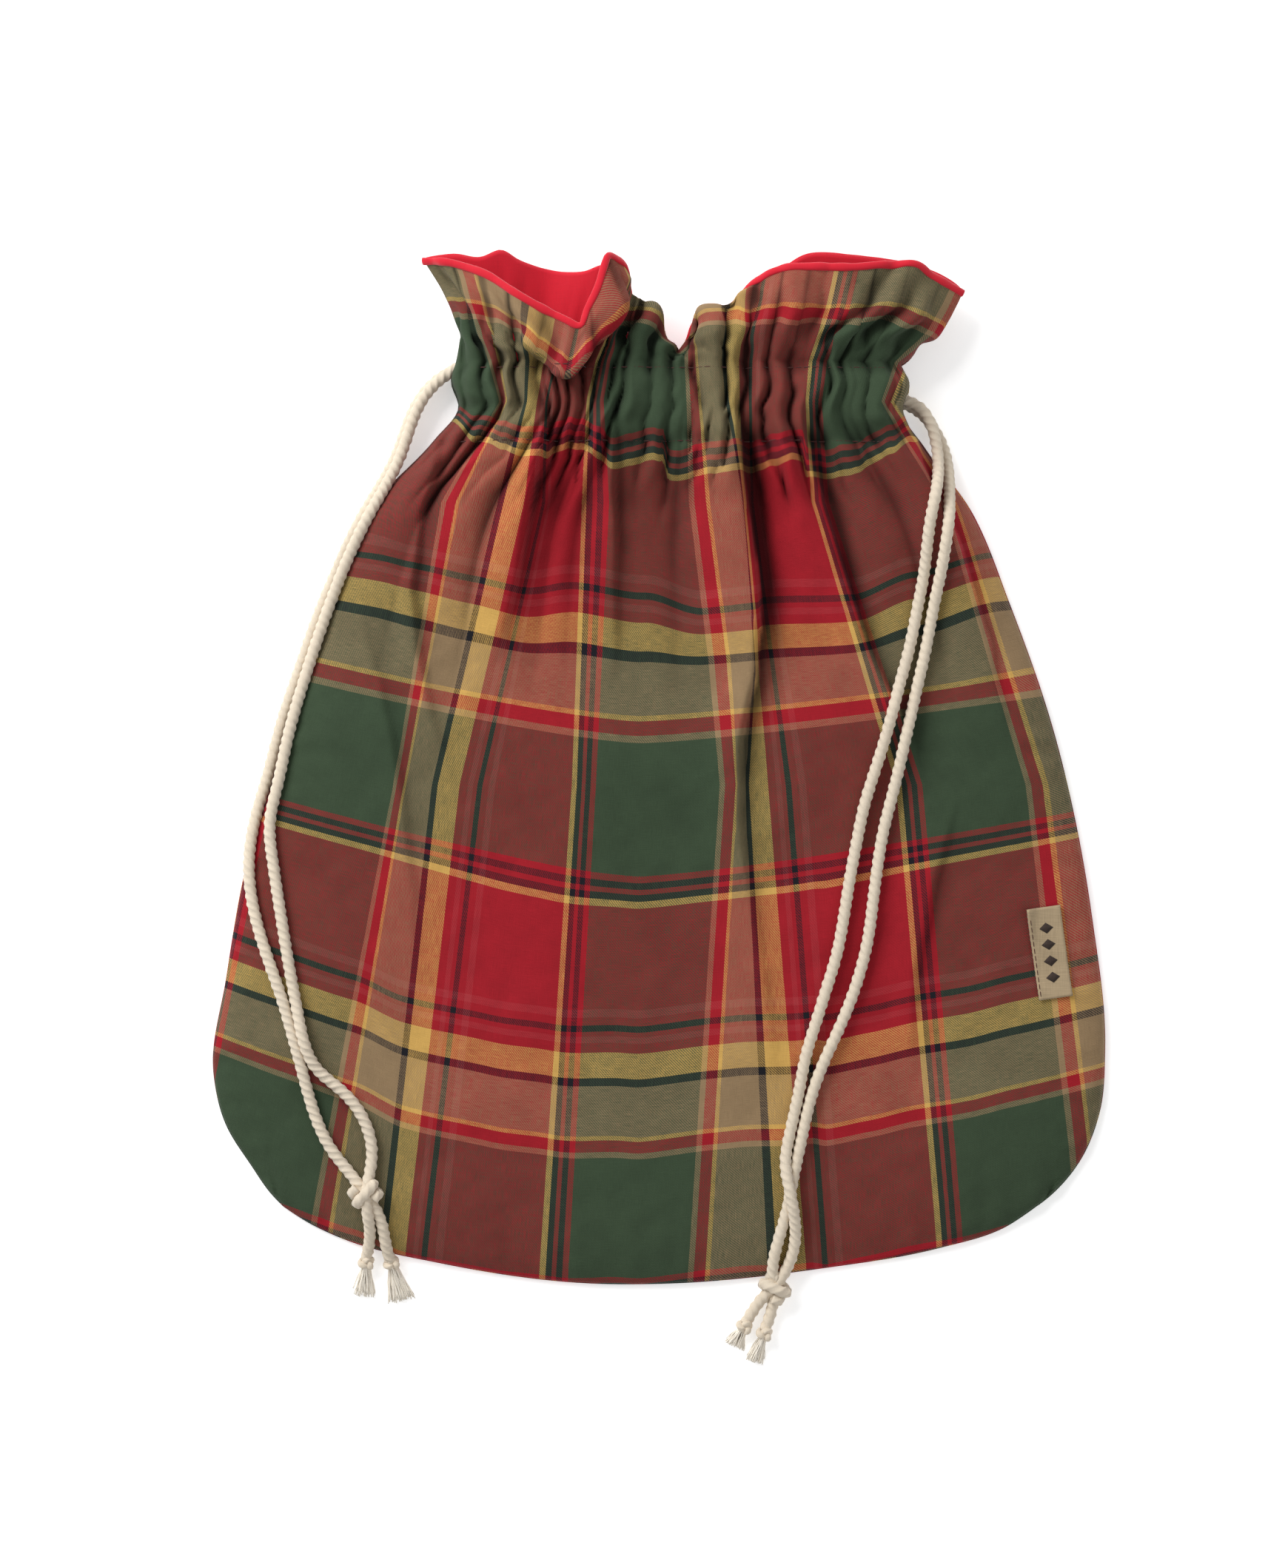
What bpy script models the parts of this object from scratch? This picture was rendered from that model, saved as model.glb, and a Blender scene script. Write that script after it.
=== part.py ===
"""A lined cotton gift sack with two drawstrings, empty and lying flat on its back.

Metres, +Z up. The origin is on the surface the sack lies on, under the middle of its cloth: +Y runs to
the mouth, and +X is on the right of somebody looking down on the front. The cloth's back lies flat, the
front is a low pillow over it, and the gathered neck between them is thicker because its casing holds
the drawstrings. Each drawstring runs round the casing and leaves it on one side as two strands.
"""

import math

import bmesh
import bpy
import numpy as np
from mathutils import Vector
from mathutils.bvhtree import BVHTree

GAP = 0.0003  # between pieces that touch
CLOTH = 0.0015  # the outer cloth, felled and slightly crumpled
LINING = 0.0012
CORD = 0.0045  # a drawstring's diameter
THREAD = 0.0008  # a row of stitches

# The plan of the sack, (x, y). Each side runs up from a bottom corner to the top of the casing.
LEFT_SIDE = [
    (-0.1540, -0.1690), (-0.1660, -0.1540), (-0.1738, -0.1350), (-0.1755, -0.1200), (-0.1705, -0.0830),
    (-0.1615, -0.0340), (-0.1490, 0.0060), (-0.1320, 0.0550), (-0.1140, 0.1010), (-0.0880, 0.1290),
    (-0.0785, 0.1420), (-0.0815, 0.1530), (-0.0800, 0.1580),
]
RIGHT_SIDE = [
    (0.1540, -0.1690), (0.1660, -0.1540), (0.1735, -0.1350), (0.1755, -0.1110), (0.1705, -0.0600),
    (0.1640, -0.0220), (0.1550, 0.0150), (0.1380, 0.0640), (0.1225, 0.1010), (0.1040, 0.1260),
    (0.0955, 0.1400), (0.0980, 0.1510), (0.0950, 0.1580),
]
BOTTOM = [
    (-0.1540, -0.1690), (-0.1260, -0.1850), (-0.0860, -0.1950), (-0.0280, -0.2029), (0.0030, -0.2030),
    (0.0640, -0.1970), (0.1100, -0.1890), (0.1350, -0.1815), (0.1540, -0.1690),
]
BACK_RIM = [
    (-0.0930, 0.1985), (-0.0740, 0.2020), (-0.0590, 0.2028), (-0.0350, 0.1965), (-0.0180, 0.1940),
    (-0.0060, 0.1820), (0.0060, 0.1680), (0.0150, 0.1740), (0.0320, 0.1860), (0.0500, 0.1980),
    (0.0680, 0.2030), (0.0890, 0.2005), (0.1100, 0.1950), (0.1200, 0.1870),
]
# Both rims rise in two lobes with a valley between them. The front one is (x, y, z).
FRONT_RIM = [
    (-0.0920, 0.1960, 0.0160), (-0.0740, 0.1950, 0.0190), (-0.0460, 0.1820, 0.0230),
    (-0.0310, 0.1760, 0.0240), (-0.0160, 0.1990, 0.0290), (-0.0020, 0.1820, 0.0240),
    (0.0070, 0.1670, 0.0210), (0.0170, 0.1760, 0.0240), (0.0380, 0.1920, 0.0280),
    (0.0630, 0.2020, 0.0300), (0.0890, 0.1990, 0.0280), (0.1100, 0.1930, 0.0220), (0.1180, 0.1860, 0.0170),
]

CASING_FOOT = 0.1270  # the lower row of casing stitches
CASING_TOP = 0.1580  # where the heading starts
# The height of the front cloth over the middle of the sack, (y, z).
FRONT_HEIGHT = [
    (-0.2030, 0.0170), (0.0950, 0.0170), (0.1150, 0.0182), (0.1310, 0.0235), (0.1535, 0.0235),
    (0.1580, 0.0205),
]
# The room for the drawstrings between the cloth and its lining, (y, height).
CASING_ROOM = [(0.1180, GAP), (0.1310, 0.0060), (0.1530, 0.0060), (0.1580, GAP)]
# How far across the sack its linings reach: less in the casing, where the drawstrings turn, (y, share).
LINING_REACH = [(0.1150, 1.0), (0.1300, 0.74), (0.1580, 0.74)]
SEAM = 0.0008  # the seam allowance between the two cloths
SEAM_EDGE = CLOTH + GAP + SEAM + GAP  # the underside of the front cloth's edge, over the seam
SEAM_REACH = (0.996, 0.978)  # the seam's outer and inner edges, as shares of the sack's half width
SEAM_LIFT = (0.004, 0.010)  # and how far up the sack they are at its foot
SIDE_STEEPNESS = 8  # how squarely the pillow's sides fall to the seam
# The side seams are open where the drawstrings leave the casing, (y, rise of the front cloth's edge).
LEFT_EXIT = [(0.1390, 0.0), (0.1440, 0.0095), (0.1580, 0.0095)]
RIGHT_EXIT = [(0.1310, 0.0), (0.1365, 0.0095), (0.1510, 0.0095), (0.1560, 0.0050), (0.1580, 0.0050)]
SIDE_SEAM_END = 0.1300
SEAM_CORNER = 0.985  # where the seam turns from a side to the foot

ROWS_UP = [0, 0.012, 0.035, 0.07, 0.13, 0.22, 0.33, 0.44, 0.55, 0.66, 0.76, 0.83]
NECK_ROWS = [0.1080, 0.1150, 0.1220, 0.1290, 0.1360, 0.1430, 0.1500, 0.1545, 0.1580]
COLUMNS = 24

# The drawstrings' ways out of the casing, and the routes of their strands over the sack, (x, y).
# A pair lies side by side at first, along one line. The strands then part, and meet in their knot.
PAIR_PITCH = 0.0052
LEFT_PAIR = [
    (-0.0880, 0.1520), (-0.0905, 0.1480), (-0.0940, 0.1405), (-0.0980, 0.1315), (-0.1022, 0.1215),
    (-0.1070, 0.1125), (-0.1150, 0.0990), (-0.1235, 0.0820), (-0.1315, 0.0630), (-0.1405, 0.0370),
    (-0.1465, 0.0180), (-0.1520, -0.0050),
]
LEFT_OUTER = [
    (-0.1590, -0.0200), (-0.1612, -0.0340), (-0.1608, -0.0460), (-0.1575, -0.0620), (-0.1525, -0.0770),
    (-0.1475, -0.0910), (-0.1435, -0.1050), (-0.1405, -0.1160), (-0.1375, -0.1280), (-0.1340, -0.1390),
    (-0.1285, -0.1500), (-0.1220, -0.1578),
]
LEFT_INNER = [
    (-0.1530, -0.0220), (-0.1510, -0.0400), (-0.1480, -0.0590), (-0.1450, -0.0770), (-0.1415, -0.0955),
    (-0.1385, -0.1090), (-0.1345, -0.1180), (-0.1285, -0.1230), (-0.1220, -0.1285), (-0.1165, -0.1360),
    (-0.1130, -0.1450), (-0.1125, -0.1545), (-0.1135, -0.1585),
]
LEFT_KNOT = (-0.1150, -0.1665)
LEFT_TAILS = [
    [(-0.1112, -0.1735), (-0.1088, -0.1790), (-0.1080, -0.1860), (-0.1070, -0.1925), (-0.1057, -0.1965)],
    [(-0.1162, -0.1738), (-0.1168, -0.1810), (-0.1160, -0.1880), (-0.1158, -0.1925), (-0.1158, -0.1955)],
]
LEFT_TIPS = [(-0.1020, -0.2100), (-0.1165, -0.2080)]
RIGHT_FRONT = [
    (0.1025, 0.1400), (0.1056, 0.1370), (0.1078, 0.1310), (0.1092, 0.1245), (0.1092, 0.1190),
    (0.1085, 0.1120), (0.1068, 0.1040), (0.1050, 0.0950), (0.1040, 0.0840), (0.1028, 0.0730),
    (0.1010, 0.0640), (0.0990, 0.0530), (0.0965, 0.0420), (0.0930, 0.0300), (0.0905, 0.0200),
    (0.0875, 0.0090), (0.0840, -0.0020), (0.0800, -0.0150), (0.0772, -0.0290), (0.0745, -0.0430),
    (0.0722, -0.0580), (0.0695, -0.0730), (0.0655, -0.0860), (0.0615, -0.0990), (0.0572, -0.1130),
    (0.0545, -0.1280), (0.0512, -0.1430), (0.0490, -0.1560), (0.0510, -0.1650), (0.0530, -0.1760),
    (0.0535, -0.1860), (0.0515, -0.1940), (0.0500, -0.1975),
]
RIGHT_BACK = [
    (0.1050, 0.1445), (0.1092, 0.1410), (0.1124, 0.1330), (0.1145, 0.1250), (0.1148, 0.1160),
    (0.1140, 0.1070), (0.1130, 0.0980), (0.1118, 0.0890), (0.1100, 0.0780), (0.1080, 0.0680),
    (0.1060, 0.0570), (0.1040, 0.0460), (0.1015, 0.0350), (0.0988, 0.0230), (0.0960, 0.0110),
    (0.0935, -0.0010), (0.0905, -0.0130), (0.0875, -0.0250), (0.0855, -0.0370), (0.0838, -0.0500),
    (0.0815, -0.0680), (0.0780, -0.0820), (0.0740, -0.0935), (0.0690, -0.1050), (0.0640, -0.1160),
    (0.0600, -0.1270), (0.0572, -0.1380), (0.0552, -0.1480), (0.0530, -0.1580), (0.0500, -0.1740),
    (0.0462, -0.1870), (0.0440, -0.1965),
]
RIGHT_KNOT = (0.0455, -0.2045)
RIGHT_TAILS = [
    [(0.0395, -0.2092), (0.0370, -0.2135), (0.0350, -0.2172), (0.0338, -0.2188)],
    [(0.0452, -0.2105), (0.0440, -0.2150), (0.0425, -0.2195), (0.0415, -0.2215)],
]
RIGHT_TIPS = [(0.0295, -0.2280), (0.0375, -0.2340)]
LAYING_STEP = 0.0020  # between the places where a cord is let down on the cloth
LAYING_PASSES = 60
KNOT_SIZE = (0.0125, 0.0105, 0.0090)  # along the cord, across it, and up
END_KNOT = 0.0056
TASSEL_WIDTH = 0.0080
TASSEL_HEIGHT = 0.0046
TASSEL_NECK = 0.45  # of the width, at the end knot

# Each drawstring keeps to its own lane in the casing, and turns back at the far side of the neck.
LEFT_LANE = 0.1500
RIGHT_LANE = 0.1420
LANE_ENDS = (-0.0655, 0.0795)  # where the two turns stop, on the left and on the right
TURN_SIDES = (-0.0515, 0.0675)  # inside these the drawstrings lie between a cloth and its lining
BACK_LANE_HEIGHT = CLOTH + 2 * GAP + CORD / 2
FRONT_LANE_HEIGHT = 0.0186
EXIT_HEIGHT = 0.0068
EXIT_PLACES = (-0.0826, 0.0988)
EASE_OUT = 0.0080  # the drawstring is nearly up in its lane this far before it passes under the cloth
EASE_IN = 0.0100  # and level this far beyond
TURN_LEAD = 0.0040  # it runs straight this far before it turns
RUN_SPAN = 0.0410

HINGE_HEIGHT = 0.0203  # the fold line at the top of the front casing
LABEL_CENTRE = (0.1530, -0.0725)
LABEL_SIZE = (0.0130, 0.0360)
LABEL_TURN = math.radians(8)
LABEL_THICKNESS = 0.0006

RED = (0.42, 0.055, 0.075, 1)
GREEN = (0.045, 0.075, 0.045, 1)
LINING_RED = (0.62, 0.02, 0.035, 1)
CREAM = (0.78, 0.68, 0.54, 1)
THREAD_RED = (0.30, 0.05, 0.05, 1)
BEIGE = (0.42, 0.32, 0.22, 1)


def clear_scene():
    for obj in list(bpy.data.objects):
        bpy.data.objects.remove(obj)


def material(name, colour, roughness=0.9):
    made = bpy.data.materials.new(name)
    made.use_nodes = True
    shader = made.node_tree.nodes["Principled BSDF"]
    shader.inputs["Base Color"].default_value = colour
    shader.inputs["Roughness"].default_value = roughness
    shader.inputs["Metallic"].default_value = 0
    return made


def smooth_curve(stations, per_span=12):
    """Points on a smooth curve through the stations, whose tangents follow their neighbours."""
    stations = np.asarray(stations, float)
    spans = np.linalg.norm(np.diff(stations, axis=0), axis=1)
    knots = np.concatenate([[0], np.cumsum(spans)])
    tangents = np.gradient(stations, knots, axis=0)
    points = []
    for i, span in enumerate(spans):
        t = np.linspace(0, 1, per_span, endpoint=False)[:, None]
        points.append(
            (2 * t**3 - 3 * t**2 + 1) * stations[i]
            + (t**3 - 2 * t**2 + t) * span * tangents[i]
            + (3 * t**2 - 2 * t**3) * stations[i + 1]
            + (t**3 - t**2) * span * tangents[i + 1]
        )
    points.append(stations[-1:])
    return np.concatenate(points)


def evenly(points, count):
    """The same curve as this many points, evenly spaced along it."""
    lengths = np.linalg.norm(np.diff(points, axis=0), axis=1)
    along = np.concatenate([[0], np.cumsum(lengths)])
    at = np.linspace(0, along[-1], count)
    return np.stack([np.interp(at, along, points[:, k]) for k in range(points.shape[1])], axis=1)


def ramp(stations, at):
    """A value that eases from station to station, (place, value), and is level beyond the ends."""
    places, values = np.array(stations).T
    at = np.clip(at, places[0], places[-1])
    i = np.clip(np.searchsorted(places, at, side="right") - 1, 0, len(places) - 2)
    t = (at - places[i]) / (places[i + 1] - places[i])
    return values[i] + (values[i + 1] - values[i]) * t * t * (3 - 2 * t)


def closed_shell(name, top, bottom, look):
    """A closed body between two grids of points, (rows, columns, 3), halved along the same diagonals."""
    rows, columns = top.shape[:2]
    count = rows * columns
    index = np.arange(count).reshape(rows, columns)
    faces = []
    for r in range(rows - 1):
        for c in range(columns - 1):
            near_left, near_right = int(index[r, c]), int(index[r, c + 1])
            far_left, far_right = int(index[r + 1, c]), int(index[r + 1, c + 1])
            for corners in ((near_left, near_right, far_right), (near_left, far_right, far_left)):
                faces.append(corners)
                faces.append([i + count for i in reversed(corners)])
    rim = [*index[0, :-1], *index[:-1, -1], *index[-1, :0:-1], *index[:0:-1, 0]]
    for a, b in zip(rim, rim[1:] + rim[:1]):
        faces.append([int(b), int(a), int(a) + count, int(b) + count])
    points = np.concatenate([top.reshape(-1, 3), bottom.reshape(-1, 3)])
    return mesh_object(name, points.tolist(), faces, look)


def mesh_object(name, points, faces, look):
    mesh = bpy.data.meshes.new(name)
    mesh.from_pydata(points, [], faces)
    mesh.materials.append(look)
    mesh.shade_smooth()
    mesh.set_sharp_from_angle(angle=math.radians(40))
    made = bpy.data.objects.new(name, mesh)
    bpy.context.collection.objects.link(made)
    return made


def tube(name, points, width, look, sides=2):
    """A round tube with filled ends along a line of points."""
    curve = bpy.data.curves.new(name, "CURVE")
    curve.dimensions = "3D"
    curve.bevel_depth = width / 2
    curve.bevel_resolution = sides
    curve.use_fill_caps = True
    line = curve.splines.new("POLY")
    line.points.add(len(points) - 1)
    for spot, place in zip(line.points, points):
        spot.co = (*[float(value) for value in place], 1)
    curve.materials.append(look)
    made = bpy.data.objects.new(name, curve)
    bpy.context.collection.objects.link(made)
    return made


def side_x(side, y):
    line = smooth_curve(side)
    return np.interp(y, line[:, 1], line[:, 0])


def plan(across, up):
    """The place on the sack's plan that is this share across it, -1 to 1, and up to the casing's top."""
    bottom = smooth_curve(BOTTOM)
    edge_y = BOTTOM[0][1] + (CASING_TOP - BOTTOM[0][1]) * up
    left = side_x(LEFT_SIDE, edge_y)
    right = side_x(RIGHT_SIDE, edge_y)
    x = (left + right) / 2 + (right - left) / 2 * across
    low_x = (BOTTOM[0][0] + BOTTOM[-1][0]) / 2 + (BOTTOM[-1][0] - BOTTOM[0][0]) / 2 * across
    low_y = np.interp(low_x, bottom[:, 0], bottom[:, 1])
    return x, low_y + (CASING_TOP - low_y) * up


def fullness(across, up):
    """How much of its middle height the pillow has here: 0 at the seam and 1 over most of the sack."""
    sides = 1 - np.abs(across) ** SIDE_STEEPNESS
    foot = 1 - (1 - up) ** (2 * SIDE_STEEPNESS)
    return np.sqrt(np.clip(sides, 0, 1) * np.clip(foot, 0, 1))


def columns_across():
    """Columns across the sack, closer together towards the seams."""
    return np.sin(np.linspace(-math.pi / 2, math.pi / 2, COLUMNS + 1))


def rows_up():
    base = BOTTOM[0][1]
    return np.array(ROWS_UP + [(y - base) / (CASING_TOP - base) for y in NECK_ROWS])


def front_height(across, up, y):
    """The top of the front cloth."""
    exit_rise = np.where(across < 0, ramp(LEFT_EXIT, y), ramp(RIGHT_EXIT, y)) * np.abs(across) ** 6
    edge = SEAM_EDGE + CLOTH + exit_rise
    return edge + (ramp(FRONT_HEIGHT, y) - edge) * fullness(across, up)


def grid(across, up):
    return np.meshgrid(across, up)


def stack(x, y, z):
    return np.stack([x, y, z], axis=-1)


def front_panel(look):
    across, up = grid(columns_across(), rows_up())
    x, y = plan(across, up)
    top = front_height(across, up, y)
    return closed_shell("front_panel", stack(x, y, top), stack(x, y, top - CLOTH), look)


def lining_grid():
    """Inside the seams, and narrower in the casing."""
    across, up = grid(columns_across()[2:-2], rows_up()[2:])
    y = plan(across, up)[1]
    across = across * ramp(LINING_REACH, y)
    x, y = plan(across, up)
    return across, up, x, y


def front_lining(look):
    across, up, x, y = lining_grid()
    top = front_height(across, up, y) - CLOTH - ramp(CASING_ROOM, y)
    return closed_shell("front_lining", stack(x, y, top), stack(x, y, top - LINING), look)


def back_lining(look):
    """Flat over the back cloth, raised by the drawstrings in the casing, and on to the back rim."""
    across, up, x, y = lining_grid()
    low = CLOTH + ramp(CASING_ROOM, y) * fullness(across, up)
    low = np.maximum(low, CLOTH + GAP)
    rim = evenly(smooth_curve(BACK_RIM), across.shape[1])
    for share in (0.35, 0.7, 0.96):
        x = np.vstack([x, x[len(up) - 1] + (rim[:, 0] - x[len(up) - 1]) * share])
        y = np.vstack([y, y[len(up) - 1] + (rim[:, 1] - y[len(up) - 1]) * share])
        low = np.vstack([low, low[len(up) - 1]])
    return closed_shell("back_lining", stack(x, y, low + LINING), stack(x, y, low), look)


def back_panel(look):
    """The back cloth lies flat from the bottom seam to its rim."""
    left = evenly(smooth_curve(LEFT_SIDE), 34)
    right = evenly(smooth_curve(RIGHT_SIDE), 34)
    bottom = evenly(smooth_curve(BOTTOM), 30)
    rim = evenly(smooth_curve(BACK_RIM), 22)
    outline = np.concatenate([bottom[:-1], right, rim[::-1], left[:0:-1]])
    made = bmesh.new()
    face = made.faces.new([made.verts.new((x, y, 0)) for x, y in outline])
    raised = bmesh.ops.extrude_face_region(made, geom=[face])["geom"]
    bmesh.ops.translate(
        made, verts=[part for part in raised if isinstance(part, bmesh.types.BMVert)], vec=(0, 0, CLOTH)
    )
    bmesh.ops.recalc_face_normals(made, faces=made.faces)
    mesh = bpy.data.meshes.new("back_panel")
    made.to_mesh(mesh)
    made.free()
    mesh.materials.append(look)
    panel = bpy.data.objects.new("back_panel", mesh)
    bpy.context.collection.objects.link(panel)
    return panel


def perimeter_seam(look):
    """The seam allowance between the two cloths, down one side, round the bottom and up the other."""
    base = BOTTOM[0][1]
    stop = (SIDE_SEAM_END - base) / (CASING_TOP - base)
    sides = np.linspace(stop, ROWS_UP[1], 24)
    foot = np.linspace(-SEAM_CORNER, SEAM_CORNER, 25)
    lines = []
    for reach, lift in zip(SEAM_REACH, SEAM_LIFT):
        left = plan(np.full(len(sides), -reach), sides)
        low = plan(foot * reach / SEAM_REACH[0], np.full(len(foot), lift))
        right = plan(np.full(len(sides), reach), sides[::-1])
        lines.append(np.concatenate([np.stack(part, axis=1) for part in (left, low, right)]))
    flat = np.stack([lines[1], lines[0]])
    level = np.full(flat.shape[:2] + (1,), CLOTH + GAP)
    low = np.concatenate([flat, level], axis=2)
    high = np.concatenate([flat, level + SEAM], axis=2)
    return closed_shell("perimeter_seam", high[::-1], low[::-1], look)


def front_heading(looks):
    """The ruffle above the casing: the cloth and its lining, from the fold line out to the rim."""
    columns = 34
    across = np.linspace(-1, 1, columns + 1)
    x, y = plan(across, np.ones(columns + 1))
    foot = stack(x, y + 2 * GAP, front_height(across, np.ones(columns + 1), y))
    rim = evenly(smooth_curve(FRONT_RIM), columns + 1)
    shares = np.array([0, 0.25, 0.5, 0.75, 1])[:, None, None]
    top = foot + (rim - foot) * shares
    made = []
    for name, depth, thickness, look in (
        ("front_heading", 0, CLOTH, looks[0]),
        ("front_heading_lining", CLOTH + GAP, LINING, looks[1]),
    ):
        high = top - (0, 0, depth)
        made.append(closed_shell(name, high, high - (0, 0, thickness), look))
    return made


def stitch_row(name, y, look, reach, surface):
    """A row of thread across the sack, from a share of its width on the left to the same on the right."""
    up = (y - BOTTOM[0][1]) / (CASING_TOP - BOTTOM[0][1])
    across = np.linspace(-reach, reach, 40)
    x = plan(across, np.full(40, up))[0]
    z = [ball_height(surface, place, y, THREAD / 2 + 2 * GAP) for place in x]
    return tube(name, np.stack([x, np.full(40, y), z], axis=1), THREAD, look)


def casing_run(name, lane, exit_side, look):
    """A drawstring inside the casing: in from its exit, across the front, round, and back behind."""
    far = 1 - exit_side
    direction = 1 if exit_side == 0 else -1
    middle = (FRONT_LANE_HEIGHT + BACK_LANE_HEIGHT) / 2
    radius = (FRONT_LANE_HEIGHT - BACK_LANE_HEIGHT) / 2
    turn_x = LANE_ENDS[far] - direction * radius
    near = TURN_SIDES[exit_side]
    door = EXIT_PLACES[exit_side]
    spread = PAIR_PITCH / 2
    before = near - direction * EASE_OUT
    past = near + direction * EASE_IN
    run_end = turn_x - direction * TURN_LEAD
    run_middle = turn_x - direction * (TURN_LEAD + RUN_SPAN)
    points = [
        (door, lane + spread, EXIT_HEIGHT),
        (door + direction * 0.006, lane + spread, EXIT_HEIGHT + 0.0010),
        (door + direction * 0.014, lane + spread / 2, EXIT_HEIGHT + 0.0055),
        (before, lane, FRONT_LANE_HEIGHT - 0.0015),
        (past, lane, FRONT_LANE_HEIGHT),
        (run_middle, lane, FRONT_LANE_HEIGHT),
        (run_end, lane, FRONT_LANE_HEIGHT),
    ]
    for angle in np.linspace(90, -90, 9):
        turn = math.radians(angle)
        points.append((turn_x + direction * radius * math.cos(turn), lane, middle + radius * math.sin(turn)))
    points += [
        (run_end, lane, BACK_LANE_HEIGHT),
        (run_middle, lane, BACK_LANE_HEIGHT),
        (past, lane, BACK_LANE_HEIGHT),
        (before, lane, BACK_LANE_HEIGHT),
        (door + direction * 0.012, lane - spread / 2, EXIT_HEIGHT - 0.0018),
        (door, lane - spread, EXIT_HEIGHT),
    ]
    return tube(name, smooth_curve(points, 3), CORD, look)


def solid_surface(objects):
    """A tree of the triangles of these objects, as they stand."""
    bpy.context.view_layer.update()
    graph = bpy.context.evaluated_depsgraph_get()
    points, faces = [], []
    for obj in objects:
        evaluated = obj.evaluated_get(graph)
        mesh = evaluated.to_mesh()
        faces += [[i + len(points) for i in face.vertices] for face in mesh.polygons]
        points += [evaluated.matrix_world @ vertex.co for vertex in mesh.vertices]
        evaluated.to_mesh_clear()
    return BVHTree.FromPolygons(points, faces)


def ball_height(surface, x, y, radius, rise=None):
    """The height at which a ball, let down here, stops on the surface or the floor.

    Its rise is half its height, which is its radius unless it is flattened.
    """
    rise = rise or radius
    height = rise
    for ring in (0, 0.35, 0.65, 0.9, 1.0):
        for turn in range(1 if ring == 0 else 12):
            angle = turn * math.pi / 6
            dx = ring * radius * math.cos(angle)
            dy = ring * radius * math.sin(angle)
            hit = surface.ray_cast(Vector((x + dx, y + dy, 0.1)), Vector((0, 0, -1)))[0]
            if hit:
                height = max(height, hit.z + rise * math.sqrt(1 - ring * ring))
    return height


def laid(route, surface, width, clearance=0.0007, step=0.0100, start_height=None):
    """The route as a cord of this width lies on the surface, bridging its hollows."""
    fine = smooth_curve(route)
    length = np.linalg.norm(np.diff(fine, axis=0), axis=1).sum()
    fine = evenly(fine, 1 + round(length / LAYING_STEP))
    floor = np.array([ball_height(surface, x, y, width / 2 + clearance) for x, y in fine])
    height = floor.copy()
    if start_height is not None:
        height[0] = start_height
    for _ in range(LAYING_PASSES):
        height[1:-1] = np.maximum(floor[1:-1], (height[:-2] + 2 * height[1:-1] + height[2:]) / 4)
    return evenly(np.column_stack([fine, height]), 1 + round(length / step))


def beside(line, offset):
    """The same line, moved sideways by an offset to the left of its direction."""
    line = np.asarray(line)
    along = np.gradient(line, axis=0)
    along /= np.linalg.norm(along, axis=1)[:, None]
    return line + offset * np.stack([-along[:, 1], along[:, 0]], axis=1)


def lump(name, centre, size, heading, look):
    """An egg-shaped knot, its first size along the heading."""
    made = bmesh.new()
    bmesh.ops.create_uvsphere(made, u_segments=14, v_segments=9, radius=0.5)
    mesh = bpy.data.meshes.new(name)
    for vertex in made.verts:
        vertex.co = Vector((vertex.co.x * size[0], vertex.co.y * size[1], vertex.co.z * size[2]))
    made.to_mesh(mesh)
    made.free()
    mesh.materials.append(look)
    mesh.shade_smooth()
    knot = bpy.data.objects.new(name, mesh)
    knot.location = centre
    knot.rotation_euler.z = heading
    bpy.context.collection.objects.link(knot)
    return knot


def tassel(name, start, tip, look):
    """A frayed end: a flat cone that widens from the end knot to its tip, lying on the floor."""
    start, tip = np.array(start), np.array(tip)
    length = np.linalg.norm(tip - start)
    along = (tip - start) / length
    across = np.array([-along[1], along[0]])
    sides = 12
    rings = []
    for share, size in ((0, TASSEL_NECK), (0.5, 0.8), (1, 1)):
        ring = []
        for k in range(sides):
            turn = 2 * math.pi * k / sides
            spot = start + along * length * share + across * math.cos(turn) * size * TASSEL_WIDTH / 2
            height = GAP + TASSEL_HEIGHT * size / 2 * (1 + math.sin(turn))
            ring.append((spot[0], spot[1], height))
        rings.append(ring)
    points = [point for ring in rings for point in ring]
    faces = [list(range(sides))[::-1], list(range(2 * sides, 3 * sides))]
    for r in range(2):
        for k in range(sides):
            a, b = r * sides + k, r * sides + (k + 1) % sides
            faces.append([a, b, b + sides, a + sides])
    return mesh_object(name, points, faces, look)


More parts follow.
